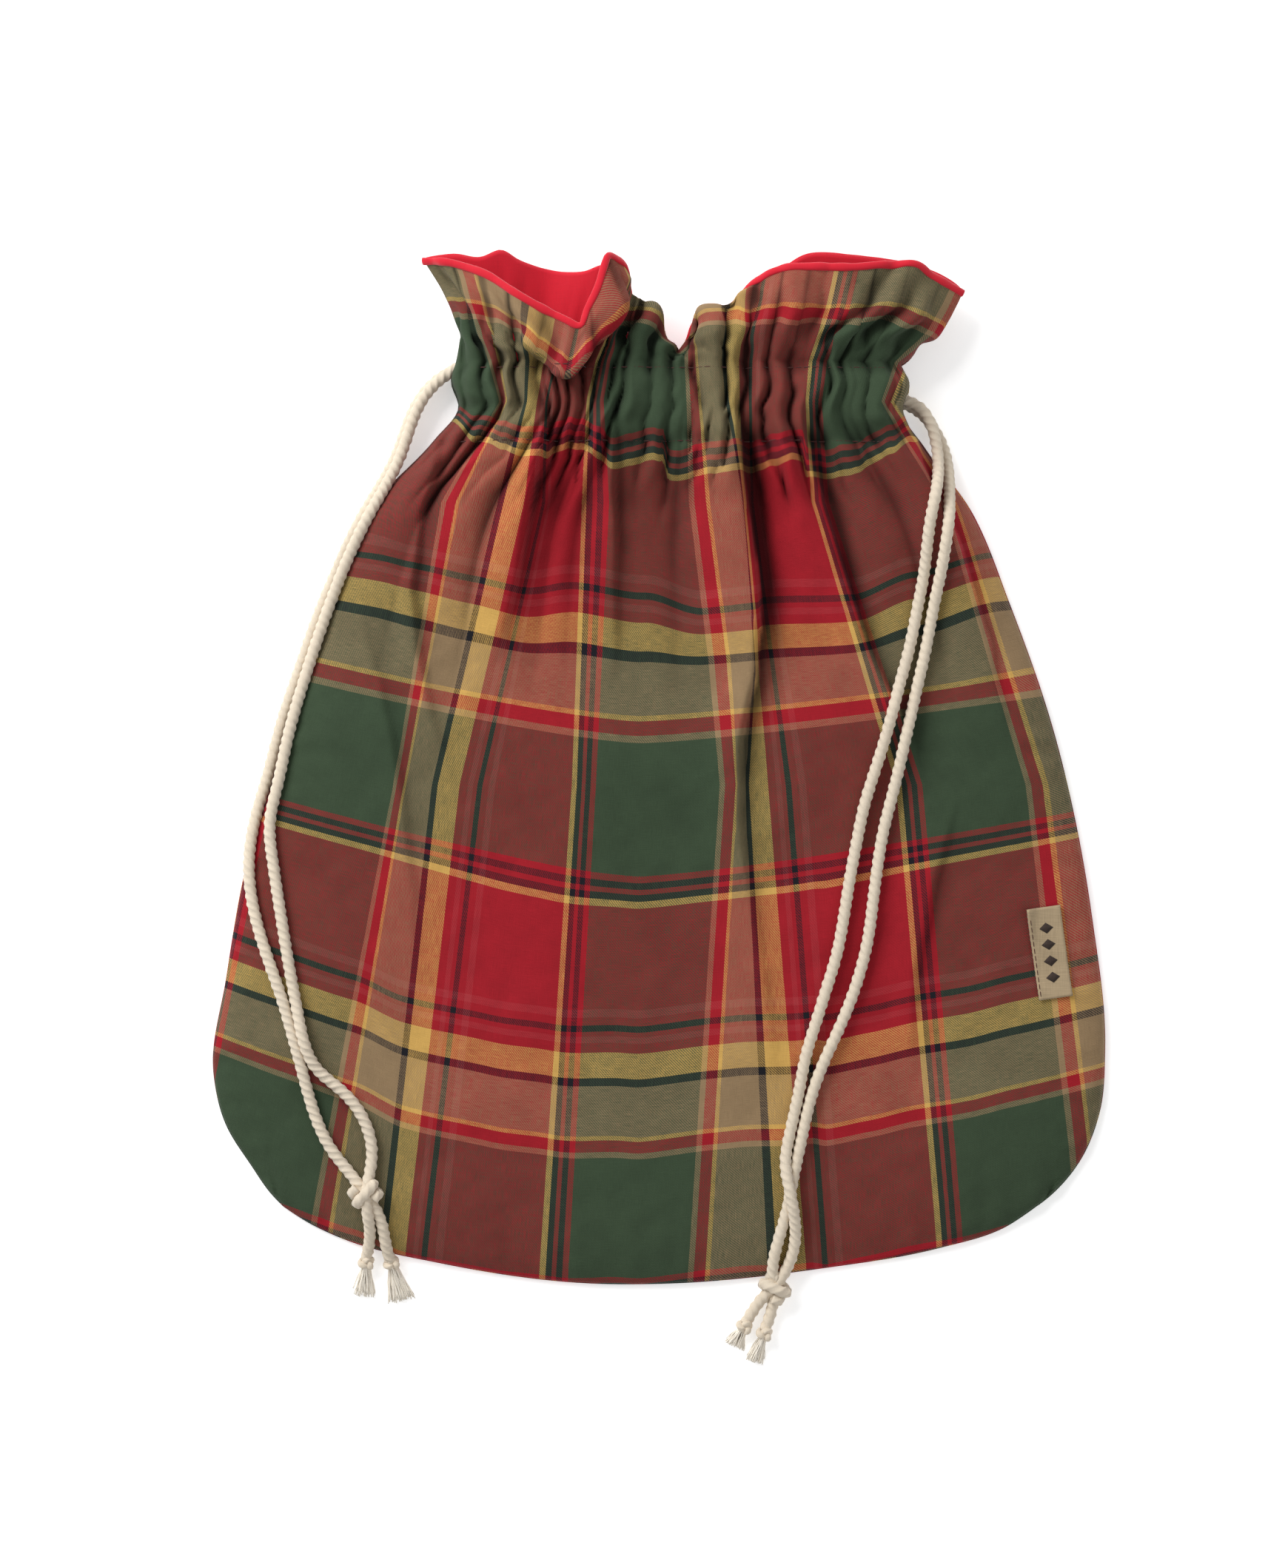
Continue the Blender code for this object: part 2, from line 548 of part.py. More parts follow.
def drawstring(side, routes, knot_place, tails, tips, sack, starts, look):
    """What hangs out of the casing on one side: two strands, their knot, and two tasselled tails."""
    pieces = []
    under = list(sack)
    for strand, route, start in zip(("first", "second"), routes, starts):
        points = laid(route, solid_surface(under), CORD, start_height=start)
        made = tube(f"{side}_{strand}_strand", points, CORD, look)
        pieces.append(made)
        under.append(made)
    reach, rise = KNOT_SIZE[0] / 2 + GAP, KNOT_SIZE[2] / 2 + GAP
    knot_height = ball_height(solid_surface(sack), *knot_place, reach, rise)
    last = np.array(routes[0][-1]) - np.array(knot_place)
    turn = math.atan2(last[1], last[0])
    pieces.append(lump(f"{side}_knot", (*knot_place, knot_height), KNOT_SIZE, turn, look))
    for which, route, tip in zip(("first", "second"), tails, tips):
        points = laid(route, solid_surface(sack), CORD, step=0.0070)
        pieces.append(tube(f"{side}_{which}_tail", points, CORD, look))
        way = np.array(tip) - np.array(route[-1])
        way /= np.linalg.norm(way)
        knot = np.array(route[-1]) + way * (END_KNOT / 2 + 0.0020)
        height = max(END_KNOT / 2 + GAP, ball_height(solid_surface(sack), *knot, END_KNOT / 2 + GAP))
        size = (END_KNOT, END_KNOT, END_KNOT)
        pieces.append(lump(f"{side}_{which}_end_knot", (*knot, height), size, 0, look))
        pieces.append(tassel(f"{side}_{which}_tassel", knot + way * (END_KNOT / 2 + 0.0006), tip, look))
    return pieces


def sewn_label(look, thread, surface):
    """A strip of tape sewn flat near the right seam, and the thread down its inner edge."""
    shares = np.linspace(-0.5, 0.5, 7)
    cosine, sine = math.cos(LABEL_TURN), math.sin(LABEL_TURN)
    turn = np.array([[cosine, -sine], [sine, cosine]])
    across, up = grid(shares * LABEL_SIZE[0], shares * LABEL_SIZE[1])
    flat = np.stack([across, up], axis=-1) @ turn.T + LABEL_CENTRE
    z = np.array([[ball_height(surface, x, y, 0.0006) for x, y in row] for row in flat])
    low = stack(flat[..., 0], flat[..., 1], z + GAP)
    label = closed_shell("label", low + (0, 0, LABEL_THICKNESS), low, look)
    row = low[:, 0] + (0.0008, 0, LABEL_THICKNESS + GAP + THREAD / 2 + 0.0002)
    return [label, tube("label_stitches", row[1:-1], THREAD, thread)]


def hang_from(name, place, pieces):
    """Puts the pieces of a moving body under an empty on its joint."""
    joint = bpy.data.objects.new(name, None)
    joint.location = place
    bpy.context.collection.objects.link(joint)
    bpy.context.view_layer.update()
    for piece in pieces:
        piece.parent = joint
        piece.matrix_parent_inverse = joint.matrix_world.inverted()


def build():
    clear_scene()
    cloth = material("tartan_cloth", RED)
    back_cloth = material("tartan_cloth_back", GREEN)
    lining = material("lining", LINING_RED, 0.75)
    cord = material("cotton_cord", CREAM)
    thread = material("thread", THREAD_RED)
    tape = material("label_tape", BEIGE)

    back = back_panel(back_cloth)
    front = front_panel(cloth)
    inside = back_lining(lining)
    front_lining(lining)
    perimeter_seam(back_cloth)
    heading = front_heading((cloth, lining))
    for face, reach, cloth_below in (("front", 0.90, front), ("back", 0.70, inside)):
        surface = solid_surface([cloth_below])
        stitch_row(f"{face}_casing_lower_stitches", CASING_FOOT, thread, reach, surface)
        stitch_row(f"{face}_casing_upper_stitches", CASING_TOP - 0.0030, thread, reach, surface)
    sewn_label(tape, thread, solid_surface([front]))
    casing_run("left_drawstring_in_casing", LEFT_LANE, 0, cord)
    casing_run("right_drawstring_in_casing", RIGHT_LANE, 1, cord)
    sack = [back, front]
    left = drawstring(
        "left",
        [
            np.concatenate([beside(LEFT_PAIR, -PAIR_PITCH / 2), LEFT_OUTER]),
            np.concatenate([beside(LEFT_PAIR, PAIR_PITCH / 2), LEFT_INNER]),
        ],
        LEFT_KNOT,
        LEFT_TAILS,
        LEFT_TIPS,
        sack,
        (EXIT_HEIGHT, EXIT_HEIGHT),
        cord,
    )
    right = drawstring(
        "right",
        [RIGHT_FRONT, RIGHT_BACK],
        RIGHT_KNOT,
        RIGHT_TAILS,
        RIGHT_TIPS,
        sack,
        (EXIT_HEIGHT, EXIT_HEIGHT),
        cord,
    )
    hang_from("front_mouth_hinge", (0.0075, CASING_TOP + GAP, HINGE_HEIGHT), heading)
    hang_from("left_drawstring_pull", (*LEFT_PAIR[0], EXIT_HEIGHT), left)
    hang_from("right_drawstring_pull", (*RIGHT_FRONT[0], EXIT_HEIGHT), right)


build()
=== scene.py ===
"""The looks of a lined tartan gift sack that lies flat on its back, with its rope drawstrings.

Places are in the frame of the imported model: +Y runs to the mouth and +Z up out of the front. The tables of
places are in millimetres, and everything else is in metres. The cloth is worked out on grids: "across" runs
from -1 at the left seam to 1 at the right one, and "up" from 0 at the bottom seam to 1 at the top of the
casing. Above that, "share" runs from 0 at the foot of the heading to 1 at its rim.
"""

import math

import bpy
import numpy as np
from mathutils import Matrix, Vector
from mathutils.bvhtree import BVHTree


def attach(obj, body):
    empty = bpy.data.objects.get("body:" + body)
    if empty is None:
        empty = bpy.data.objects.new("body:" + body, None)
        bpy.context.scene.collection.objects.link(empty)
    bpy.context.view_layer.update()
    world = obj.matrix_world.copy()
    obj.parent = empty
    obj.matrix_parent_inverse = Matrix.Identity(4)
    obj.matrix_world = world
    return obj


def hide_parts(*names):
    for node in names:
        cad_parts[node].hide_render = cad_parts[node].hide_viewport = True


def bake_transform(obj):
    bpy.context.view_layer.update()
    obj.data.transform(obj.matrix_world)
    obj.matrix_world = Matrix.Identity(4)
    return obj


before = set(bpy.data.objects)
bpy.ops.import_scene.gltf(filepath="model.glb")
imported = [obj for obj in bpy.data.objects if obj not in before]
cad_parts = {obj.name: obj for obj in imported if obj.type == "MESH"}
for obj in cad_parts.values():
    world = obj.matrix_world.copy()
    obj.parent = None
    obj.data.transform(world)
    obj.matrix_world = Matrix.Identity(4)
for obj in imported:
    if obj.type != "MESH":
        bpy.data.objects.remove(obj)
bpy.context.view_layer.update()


def metres(table):
    """The same lists and tuples of numbers, from millimetres to metres."""
    if isinstance(table, (int, float)):
        return table / 1000
    return type(table)(metres(entry) for entry in table)


# ---------------------------------------------------------------- the plan of the sack, (x, y)

LEFT_SIDE = metres([
    (-148, -172.8), (-153.7, -166.5), (-160.2, -157), (-171.2, -139), (-175.5, -120), (-170.5, -83),
    (-161.5, -34), (-149, 6), (-132, 55), (-114, 101), (-88, 129), (-78.5, 142), (-81.5, 153), (-80, 158),
])
RIGHT_SIDE = metres([
    (148, -172.8), (154.2, -168), (166, -154), (173.5, -135), (175.5, -111), (170.5, -60), (164, -22),
    (155, 15), (138, 64), (122.5, 101), (104, 126), (95.5, 140), (98, 151), (95, 158),
])
BOTTOM = metres([
    (-148, -172.8), (-136.1, -180), (-124, -185.5), (-86, -195), (-28, -202.9), (3, -203), (64, -197),
    (110, -189), (135, -181.2), (148, -172.8),
])
# The heading: (x, y, z) of its rim, and of the line it bulges to on the way there from the casing. On the
# left it flares into a spout that flops down over the casing, and between its lobes it curls back.
FRONT_HEADING = metres([
    ((-92.5, 198.5, 15), (-77, 168.5, 15)), ((-81, 197, 22), (-76, 183, 24)),
    ((-67, 192, 27), (-65, 182, 29)), ((-56, 184.5, 30), (-56, 173, 31)),
    ((-45, 178, 32), (-48, 161, 32)), ((-35, 173, 33.5), (-39.5, 152, 33.5)),
    ((-31.2, 171, 34), (-35.5, 151, 33.5)), ((-28.8, 176.5, 34), (-29, 157, 33.5)),
    ((-24.7, 185.5, 33), (-20.5, 169, 32.5)), ((-20, 198.5, 31), (-13, 180, 30)),
    ((-15.5, 196, 24), (-11.5, 189, 26)), ((-11.5, 183, 13), (-9.5, 184.5, 23)),
    ((-6, 178, 11), (-5, 182, 22.5)), ((-1, 173, 10), (-1, 177, 21)), ((4, 163, 9), (4, 166, 18)),
    ((7, 160, 8), (7, 162, 16)), ((11, 167, 9), (10, 170, 18)), ((16, 174, 11), (15, 177.5, 21.5)),
    ((25, 177, 12), (24, 180.5, 23.5)), ((31, 181.5, 16), (30, 183.5, 26)),
    ((37, 189.5, 25), (36, 186, 28)), ((45, 193.5, 26.5), (43, 182, 30)),
    ((60, 194.5, 27), (57, 178, 30)), ((76, 194.5, 26), (72, 177, 29)), ((90, 196, 25), (86, 178, 29)),
    ((100, 196, 23), (95, 178, 27)), ((107, 192.2, 20), (101, 177, 24)),
    ((114, 188.8, 17), (106, 173, 20)), ((119.5, 186, 14), (109, 167.5, 14)),
])
BACK_RIM = metres([
    (-92.5, 199.8, 14), (-74, 200.8, 15), (-66, 199, 15), (-59, 202.2, 14), (-54, 198.5, 12),
    (-43, 194.8, 9), (-29, 193.2, 16), (-21.5, 195, 20), (-16, 186, 15), (-8, 175, 9), (1, 165, 6),
    (7, 157, 5), (14, 168, 6), (22, 174, 8), (30, 176, 10), (38, 188, 13), (48, 194.5, 15),
    (57, 199.8, 16), (71, 200.2, 16), (85, 199, 16), (99, 197.4, 15), (109, 193.8, 14), (120, 186.8, 13),
])
# The side seams are open at the ends of the casing, where the cloth stands up over the drawstrings:
# (y, rise).
LEFT_OPENING = metres([(139, 0), (145, 7.6), (160, 7.6)])
RIGHT_OPENING = metres([(131, 0), (136.5, 8), (151, 8), (156, 4), (160, 4)])
CASING_FOOT = 0.1270
CASING_TOP = 0.1580
FOLD_EDGE = 0.0016  # half the width of the steep side of a long fold
FOLD_RISE = 0.0130
FOLD_HOLLOW = 0.35

# ---------------------------------------------------------------- the tartan

# One repeat of the tartan, in threads: its stripes from the right to the left, and from the top down.
SETT = [
    ("green", 180), ("red", 7), ("black", 9), ("red", 7), ("black", 9), ("yellow", 7.5), ("red", 134),
    ("pink", 10), ("red", 11), ("black", 9), ("red", 6), ("pink", 9), ("red", 13), ("yellow", 35),
    ("black", 11), ("tan", 67), ("yellow", 7), ("red", 17), ("tan", 7),
]
# Some of the warp threads, in repeats from a green stripe's right edge, and where they lie: (y, [x ...]).
WARP_THREADS = [
    -0.330, 0, 0.1863, 0.3177, 0.6115, 0.6760, 1, 1.0558, 1.1863, 1.2592, 1.3177, 1.6115, 1.6760, 2,
    2.0495, 2.093,
]
WARP_PLACES = metres([
    (-156, [
        -183, -132.7, -105.2, -88.6, -43.4, -33.9, 14, 21.9, 41.6, 54.3, 61.7, 107.1, 116.1, 161.6, 169.8,
        175.3,
    ]),
    (-6.7, [
        -153.5, -104, -88.5, -70.5, -33.5, -25.4, 23.6, 30.9, 33.5, 42.2, 50.1, 93.5, 102.5, 143.4, 150.6,
        160.8,
    ]),
    (42.7, [
        -137.6, -95.5, -76.7, -59.1, -31.9, -22.9, 19, 27.5, 37.8, 38.2, 43.6, 78.3, 86, 128.4, 135, 143,
    ]),
    (103.5, [
        -118, -85.1, -62.1, -45, -30, -19.9, 11.4, 19.3, 33, 33.3, 36, 59.5, 65.7, 110, 115.8, 121,
    ]),
    (142, [
        -86, -62, -52, -44, -28, -22, 10.5, 16, 26, 31, 35, 57, 62.7, 86, 90, 96,
    ]),
    (195, [
        -96, -77, -50.5, -31.2, -16.5, -13.5, 8, 12, 22, 30, 36, 62, 70, 105, 112, 120,
    ]),
])
# Some of the weft threads and where they cross the middle of the sack: (repeats from a green stripe's top
# edge, y in millimetres).
WEFT_PLACES = [
    (-0.400, -211), (-0.324, -198.4), (0, -150.6), (0.0558, -142.5), (0.1764, -123), (0.1962, -119.8),
    (0.2592, -109.7), (0.3258, -98.9), (0.6049, -53.9), (0.6760, -42.8), (1, 9.5), (1.0558, 19.7),
    (1.1764, 40.8), (1.1962, 45.5), (1.2592, 57.1), (1.3258, 69), (1.6049, 118), (1.6760, 129.9),
    (1.8850, 158), (2, 173.5), (2.17, 201),
]
WEFT_AT_RIM = 2.17
# How far the weft rises from the middle to each seam, (y, left, right).
WEFT_BOW = metres([
    (-200, 36, 30), (-120, 41, 29), (-45, 37, 28), (45, 32, 21), (120, 20, 8), (160, 0, 0),
])
WEFT_MIDDLE = -0.008  # the x from which the weft rises both ways
WEFT_REACH = (0.160, 0.178)  # and how far it is to the left and the right seam
WEFT_SCALLOP = 0.0012  # how far each gather bends it
# The gathers pull the weft under the casing into waves, (x, rise).
WEFT_WAVES = metres([
    (-90, 17), (-83.7, 14.7), (-71.9, 3.6), (-56.2, -0.9), (-43.6, -1.3), (-40.5, 2.4), (-31, 4.8),
    (-24.7, 2.1), (-18.5, -1.8), (1.2, 1.1), (3.5, -6.5), (30, -4.5), (55.4, -0.4), (57, -7),
    (72.7, -8.2), (88.4, -0.4), (105.7, 8.2),
])
# Lower down, the long folds take up some of its height, (x, rise).
WEFT_SAGS = metres([
    (-110, 0), (-96, -1.1), (-75, -2.5), (-54, -4.2), (-31.5, 0.8), (-6, -1), (18, -8.5), (38, -8.2),
    (40.5, -5.8), (75, -8.3), (100, -1), (133, 5.5), (150, 6),
])
# And near the bottom seam the cloth hangs lower than even bows would have it, (x, rise).
WEFT_DROPS = metres([
    (-175, -4.5), (-147, -5.2), (-120, -6.2), (-100, -9.8), (-66.5, -8.5), (-42.4, -6.8), (-13, -3),
    (18, -1.8), (29, -2), (59, -4.8), (66.5, -6.8), (82, -6.2), (100, -5.2), (120, -5.6), (139, -4.6),
    (170, -4),
])
# The creases between the gathers of the casing, (x, depth).
TIGHT_CREASES = metres([
    (-83, 3), (-76.5, 5), (-69, 4), (-62.5, 5.5), (-56, 6.5), (-49, 4), (-43.5, 6), (-39.2, 3.5),
    (-35, 5), (-30, 3.5), (-25.5, 5.5), (-19.5, 6), (-10.5, 4.5), (-3, 3.5), (4.5, 4), (11, 6),
    (17.5, 4.5), (25.5, 6), (33.5, 7), (42.5, 5), (50, 5.5), (56.5, 6), (64, 4.5), (71.2, 6.5), (77, 4.5),
    (82, 5), (87, 4), (91.5, 4), (98, 3),
])
# Folds that run up the ruffle, (x at the casing, x at the rim, depth).
RUFFLE_CREASES = metres([
    (-66, -76, 3), (-50, -58, 3.4), (-33, -39, 2.6), (-18, -11, 3), (-4, 0, 2.4), (14, 10, 3),
    (30, 24, 4), (45, 40, 2.4), (59, 76, 4.2), (74, 86, 3.8), (86, 91, 2.4),
])
# The broader creases that run on down the sack, (x, depth).
BROAD_CREASES = metres([
    (-85, 2), (-64, 3.5), (-45, 6), (-26, 3), (-19, 3), (9, 4.5), (34, 6.5), (56, 4), (74, 4.5), (98, 2),
])
BROAD_MEAN = 0.0025  # how high the broad rolls are on average
TIGHT_MEAN = 0.0030
# The long folds under the casing: (x, y, depth) down each crease, whose cloth stands on its left.
LONG_FOLDS = metres([
    [(-44, 140, 8.5), (-44.5, 125, 9), (-48.5, 111, 8), (-52, 92, 5), (-56, 70, 3), (-64, 40, 0)],
    [(30, 140, 7), (31, 126, 8), (34.3, 100, 8), (38.5, 78, 7.5), (39.5, 55, 7), (37, 32, 5.8),
     (32.5, 8, 4.5), (31.8, -18, 3), (37, -55, 2), (44, -100, 1), (46, -130, 0)],
    [(56, 135, 4), (61, 112, 4.5), (70, 85, 4), (78, 58, 5), (85, 40, 4.5), (96, 18, 2.5), (104, -10, 0)],
    [(-86, 118, 2), (-92, 100, 2.8), (-96, 70, 3), (-94, 45, 2.4), (-88, 20, 1.4), (-80, -5, 0)],
    [(-18, 140, 5), (-17, 115, 5), (-16, 85, 3.2), (-17, 50, 1.2), (-18, 30, 0)],
    [(102, 120, 4), (116, 90, 3.5), (129, 50, 2.5), (138, 5, 0)],
    [(-118, 60, 0), (-108, 30, 1.4), (-100, -10, 1.8), (-96, -50, 1), (-94, -90, 0)],
    [(118, -10, 0), (108, -45, 2.2), (101, -80, 2), (99, -125, 0)],
])

# ---------------------------------------------------------------- the drawstrings

CORD = 0.0045
# How far each strand of the left pair lies from the line between them, (y, distance).
PAIR_APART = metres([(-5, 2.6), (37, 1.7), (100, 1.2), (130, 0.9), (153, 0.6)])
LEFT_PAIR = metres([
    (-86.8, 153), (-90.8, 149), (-95.5, 141.9), (-99.4, 131.7), (-102.6, 122.2), (-107.3, 113),
    (-115, 99), (-123.5, 82), (-131.5, 63), (-140.5, 37), (-146.5, 18), (-152, -5),
])
LEFT_OUTER = metres([
    (-159, -20), (-161.2, -34), (-160.8, -46), (-157.5, -62), (-152.5, -77), (-147.5, -91),
    (-143.5, -105), (-140.5, -116), (-137.5, -128), (-134, -139), (-128.5, -150), (-122, -157.8),
])
LEFT_INNER = metres([
    (-153, -22), (-151, -40), (-148, -59), (-145, -77), (-141.5, -95.5), (-138.5, -109), (-134.5, -118),
    (-128.5, -123), (-122, -128.5), (-116.5, -136), (-113, -145), (-112.5, -154.5), (-113.5, -158.5),
])
LEFT_KNOT = (-0.1150, -0.1665)
LEFT_TAILS = metres([
    [(-109.8, -174.5), (-108.2, -180), (-107.6, -186), (-106.6, -191.5), (-105, -195.8)],
    [(-114.3, -174.5), (-113.1, -181), (-113.8, -187), (-115, -192), (-116, -195.5)],
])
LEFT_TIPS = metres([(-102, -210), (-116.5, -208)])
RIGHT_FRONT = metres([
    (101.8, 142.8), (105, 139.2), (107.4, 133), (109.2, 125), (109.3, 119), (108.5, 112), (106.8, 104),
    (105, 95), (104, 84), (102.8, 73), (101, 64), (99, 53), (96.5, 42), (93, 30), (90.5, 20), (87.5, 9),
    (84, -2), (80, -15), (77.2, -29), (74.5, -43), (72.2, -58), (69.5, -73), (65.5, -86), (61.5, -99),
    (57.2, -113), (54.5, -128), (51.2, -143), (49, -156), (51, -165), (53, -176), (53.5, -186),
    (51.5, -194), (50, -197.5),
])
RIGHT_BACK = metres([
    (102.2, 141.5), (105.6, 137.2), (109.2, 131.8), (112.4, 125), (113.6, 116), (113.4, 107), (112.7, 98),
    (111.6, 89), (110, 78), (108, 68), (106, 57), (104, 46), (101.5, 35), (98.8, 23), (96, 11),
    (93.5, -1), (90.5, -13), (87.5, -25), (85.5, -37), (83.8, -50), (81.5, -68), (78, -82), (74, -93.5),
    (69, -105), (64, -116), (60, -127), (57.2, -138), (55.2, -148), (53, -158), (50, -174), (46.2, -187),
    (44, -196.5),
])
RIGHT_KNOT = (0.0455, -0.2045)
RIGHT_TAILS = metres([
    [(39.5, -209.2), (37, -213.5), (35, -217.2), (33.8, -218.8)],
    [(45.2, -210.5), (44, -215), (42.5, -219.5), (41.5, -221.5)],
])
RIGHT_TIPS = metres([(29.5, -228), (37.5, -234)])
TASSEL_WIDTHS = {"left": (0.0090, 0.0075), "right": (0.0070, 0.0060)}
# Where the two strands start inside the casing. One lies on the other there.
LEFT_STARTS = metres([(-72.5, 160, 3.4), (-72.5, 160.6, 7.4)])
RIGHT_STARTS = metres([(88.5, 146.2, 7.4), (88.5, 145.5, 3.4)])

LABEL_CENTRE = (0.1530, -0.0725)
LABEL_SIZE = (0.0133, 0.0360)
LABEL_TURN = math.radians(8)
LABEL_LIFT = 0.0011  # over the cloth
LABEL_THICKNESS = 0.0006
LABEL_CORNER_LIFT = 0.0016  # of its loose corner
LABEL_EDGE_LIFT = 0.0004
PRINT_LIFT = 0.00008  # over the label
PRINT_THICKNESS = 0.00012
LABEL_STITCHES = (0.0011, 0.0016, 0.00018)  # length, gap and radius
LABEL_STITCH_ENDS = ((-0.44, -0.46), (-0.44, 0.40))  # of the row, as shares of the label's size
DIAMONDS = (-0.27, -0.09, 0.09, 0.27)  # where their middles are up the label, as shares of its length
DIAMOND_REACH = (0.21, 0.060)  # half a diamond's width and height, as shares of the label's


# ---------------------------------------------------------------- curves and grids


def smooth_curve(stations, per_span=12):
    """Points on a smooth curve through the stations, whose tangents follow their neighbours."""
    stations = np.asarray(stations, float)
    spans = np.linalg.norm(np.diff(stations, axis=0), axis=1)
    knots = np.concatenate([[0], np.cumsum(spans)])
    tangents = np.gradient(stations, knots, axis=0)
    points = []
    for i, span in enumerate(spans):
        t = np.linspace(0, 1, per_span, endpoint=False)[:, None]
        points.append(
            (2 * t**3 - 3 * t**2 + 1) * stations[i]
            + (t**3 - 2 * t**2 + t) * span * tangents[i]
            + (3 * t**2 - 2 * t**3) * stations[i + 1]
            + (t**3 - t**2) * span * tangents[i + 1]
        )
    points.append(stations[-1:])
    return np.concatenate(points)


def length_of(points):
    """How long the line through these points is."""
    return np.linalg.norm(np.diff(points, axis=0), axis=1).sum()


def evenly(points, count):
    """The same curve as this many points, evenly spaced along it."""
    lengths = np.linalg.norm(np.diff(points, axis=0), axis=1)
    along = np.concatenate([[0], np.cumsum(lengths)])
    at = np.linspace(0, along[-1], count)
    return np.stack([np.interp(at, along, points[:, k]) for k in range(points.shape[1])], axis=1)


def relaxed(rows, passes):
    """The rows, with each but the first and the last drawn to its neighbours this many times."""
    rows = rows.copy()
    for _ in range(passes):
        rows[1:-1] = (rows[:-2] + 2 * rows[1:-1] + rows[2:]) / 4
    return rows


def ramp(stations, at, column=1):
    """A value that eases from station to station, (place, value ...), and is level beyond the ends."""
    places = np.array([station[0] for station in stations])
    values = np.array([station[column] for station in stations])
    at = np.clip(at, places[0], places[-1])
    i = np.clip(np.searchsorted(places, at, side="right") - 1, 0, len(places) - 2)
    t = (at - places[i]) / (places[i + 1] - places[i])
    return values[i] + (values[i + 1] - values[i]) * t * t * (3 - 2 * t)


def ease(low, high, at):
    """From 0 below low to 1 above high, with a smooth start and end."""
    t = np.clip((at - low) / (high - low), 0, 1)
    return t * t * (3 - 2 * t)


NOISE_CELLS = 64  # the noise repeats after so many cells
NOISE_START = 500


def soft_noise(x, y, cell, seed):
    """Smooth noise from -1 to 1 whose blobs are about a cell across."""
    table = np.random.default_rng(seed).uniform(-1, 1, (NOISE_CELLS, NOISE_CELLS))
    u, v = x / cell + NOISE_START, y / cell + NOISE_START
    i, j = np.floor(u).astype(int), np.floor(v).astype(int)
    fu, fv = u - i, v - j
    fu, fv = fu * fu * (3 - 2 * fu), fv * fv * (3 - 2 * fv)
    left, right = i % NOISE_CELLS, (i + 1) % NOISE_CELLS
    rows = (j % NOISE_CELLS, (j + 1) % NOISE_CELLS)
    low, high = (table[left, row] * (1 - fu) + table[right, row] * fu for row in rows)
    return low * (1 - fv) + high * fv


BOTTOM_LINE = smooth_curve(BOTTOM)
SIDE_LINES = [smooth_curve(LEFT_SIDE), smooth_curve(RIGHT_SIDE)]


def plan(across, up):
    """The place, (x, y), on the sack's plan."""
    edge_y = BOTTOM[0][1] + (CASING_TOP - BOTTOM[0][1]) * up
    left, right = (np.interp(edge_y, line[:, 1], line[:, 0]) for line in SIDE_LINES)
    x = (left + right) / 2 + (right - left) / 2 * across
    low_x = BOTTOM[-1][0] * across
    low_y = np.interp(low_x, BOTTOM_LINE[:, 0], BOTTOM_LINE[:, 1])
    return x, low_y + (CASING_TOP - low_y) * up


def rolls(creases, x, sharpness):
    """A row of rounded rolls between creases, from 0 in a crease to its depth on the rolls beside it."""
    places, depths = np.array(creases).T
    phase = np.interp(x, places, np.arange(len(places)))
    return np.abs(np.sin(math.pi * phase)) ** sharpness * np.interp(x, places, depths)


def casing_x(across):
    """Where a share across the sack is in its casing."""
    return LEFT_SIDE[-1][0] + (RIGHT_SIDE[-1][0] - LEFT_SIDE[-1][0]) * (across + 1) / 2


def tight_gathers(x, y):
    """Uneven rolls of cloth between sharp creases, some of which split or run out on the way up."""
    x = x + 0.0030 * soft_noise(x, y * 0.45, 0.012, 12) + 0.0009 * soft_noise(x, y * 1.0, 0.005, 14)
    some = rolls(TIGHT_CREASES, x, 0.60)
    others = rolls(TIGHT_CREASES, 0.80 * x - 0.0070, 0.60)
    split = ease(-0.30, 0.30, soft_noise(x, y * 0.6, 0.013, 16))
    uneven = 1 + 0.75 * soft_noise(x, y * 0.5, 0.012, 15)
    return (some + (others - some) * split - TIGHT_MEAN) * uneven


def gathers(across, y):
    """The gathers: tight in the casing, and fewer and lower further down the sack."""
    x = casing_x(across)
    foot = 0.112 + 0.010 * soft_noise(x, np.zeros_like(x), 0.009, 13) + 0.018 * np.abs(across) ** 3
    tight = tight_gathers(x, y) * ease(foot - 0.022, foot + 0.016, y)
    broad = (rolls(BROAD_CREASES, x, 0.85) - BROAD_MEAN) * ease(0.010, 0.122, y)
    return tight * 1.1 + broad * 1.25 * (1 - 0.6 * ease(0.126, 0.140, y))


def crease_depth(x, y):
    """How far the long folds raise or lower the cloth."""
    total = np.zeros_like(x)
    for fold in LONG_FOLDS:
        line = np.array(fold)[::-1]
        middle = np.interp(y, line[:, 1], line[:, 0])
        depth = np.interp(y, line[:, 1], line[:, 2], left=0, right=line[-1, 2])
        depth = depth * ease(CASING_TOP - 0.012, CASING_TOP - 0.030, y)
        away = x - middle + 0.0006 * soft_noise(x, y, 0.012, 40)
        rise = np.exp(-np.abs((away + FOLD_EDGE) / FOLD_RISE) ** 1.6)
        drop = 1 - ease(-FOLD_EDGE, FOLD_EDGE, away) * (1 + FOLD_HOLLOW)
        back = -FOLD_HOLLOW * np.exp(-((away - FOLD_EDGE) / FOLD_RISE))
        shape = np.where(away < -FOLD_EDGE, rise, np.where(away < FOLD_EDGE, drop, back))
        total += depth * shape
    return total


# The dents of washed cotton, from the broad ones to the fine ones: (size, height, slant).
DENTS = [(0.045, 0.0015, 0), (0.019, 0.00060, 0.3), (0.008, 0.00022, -0.5), (0.0036, 0.00007, 0.7)]


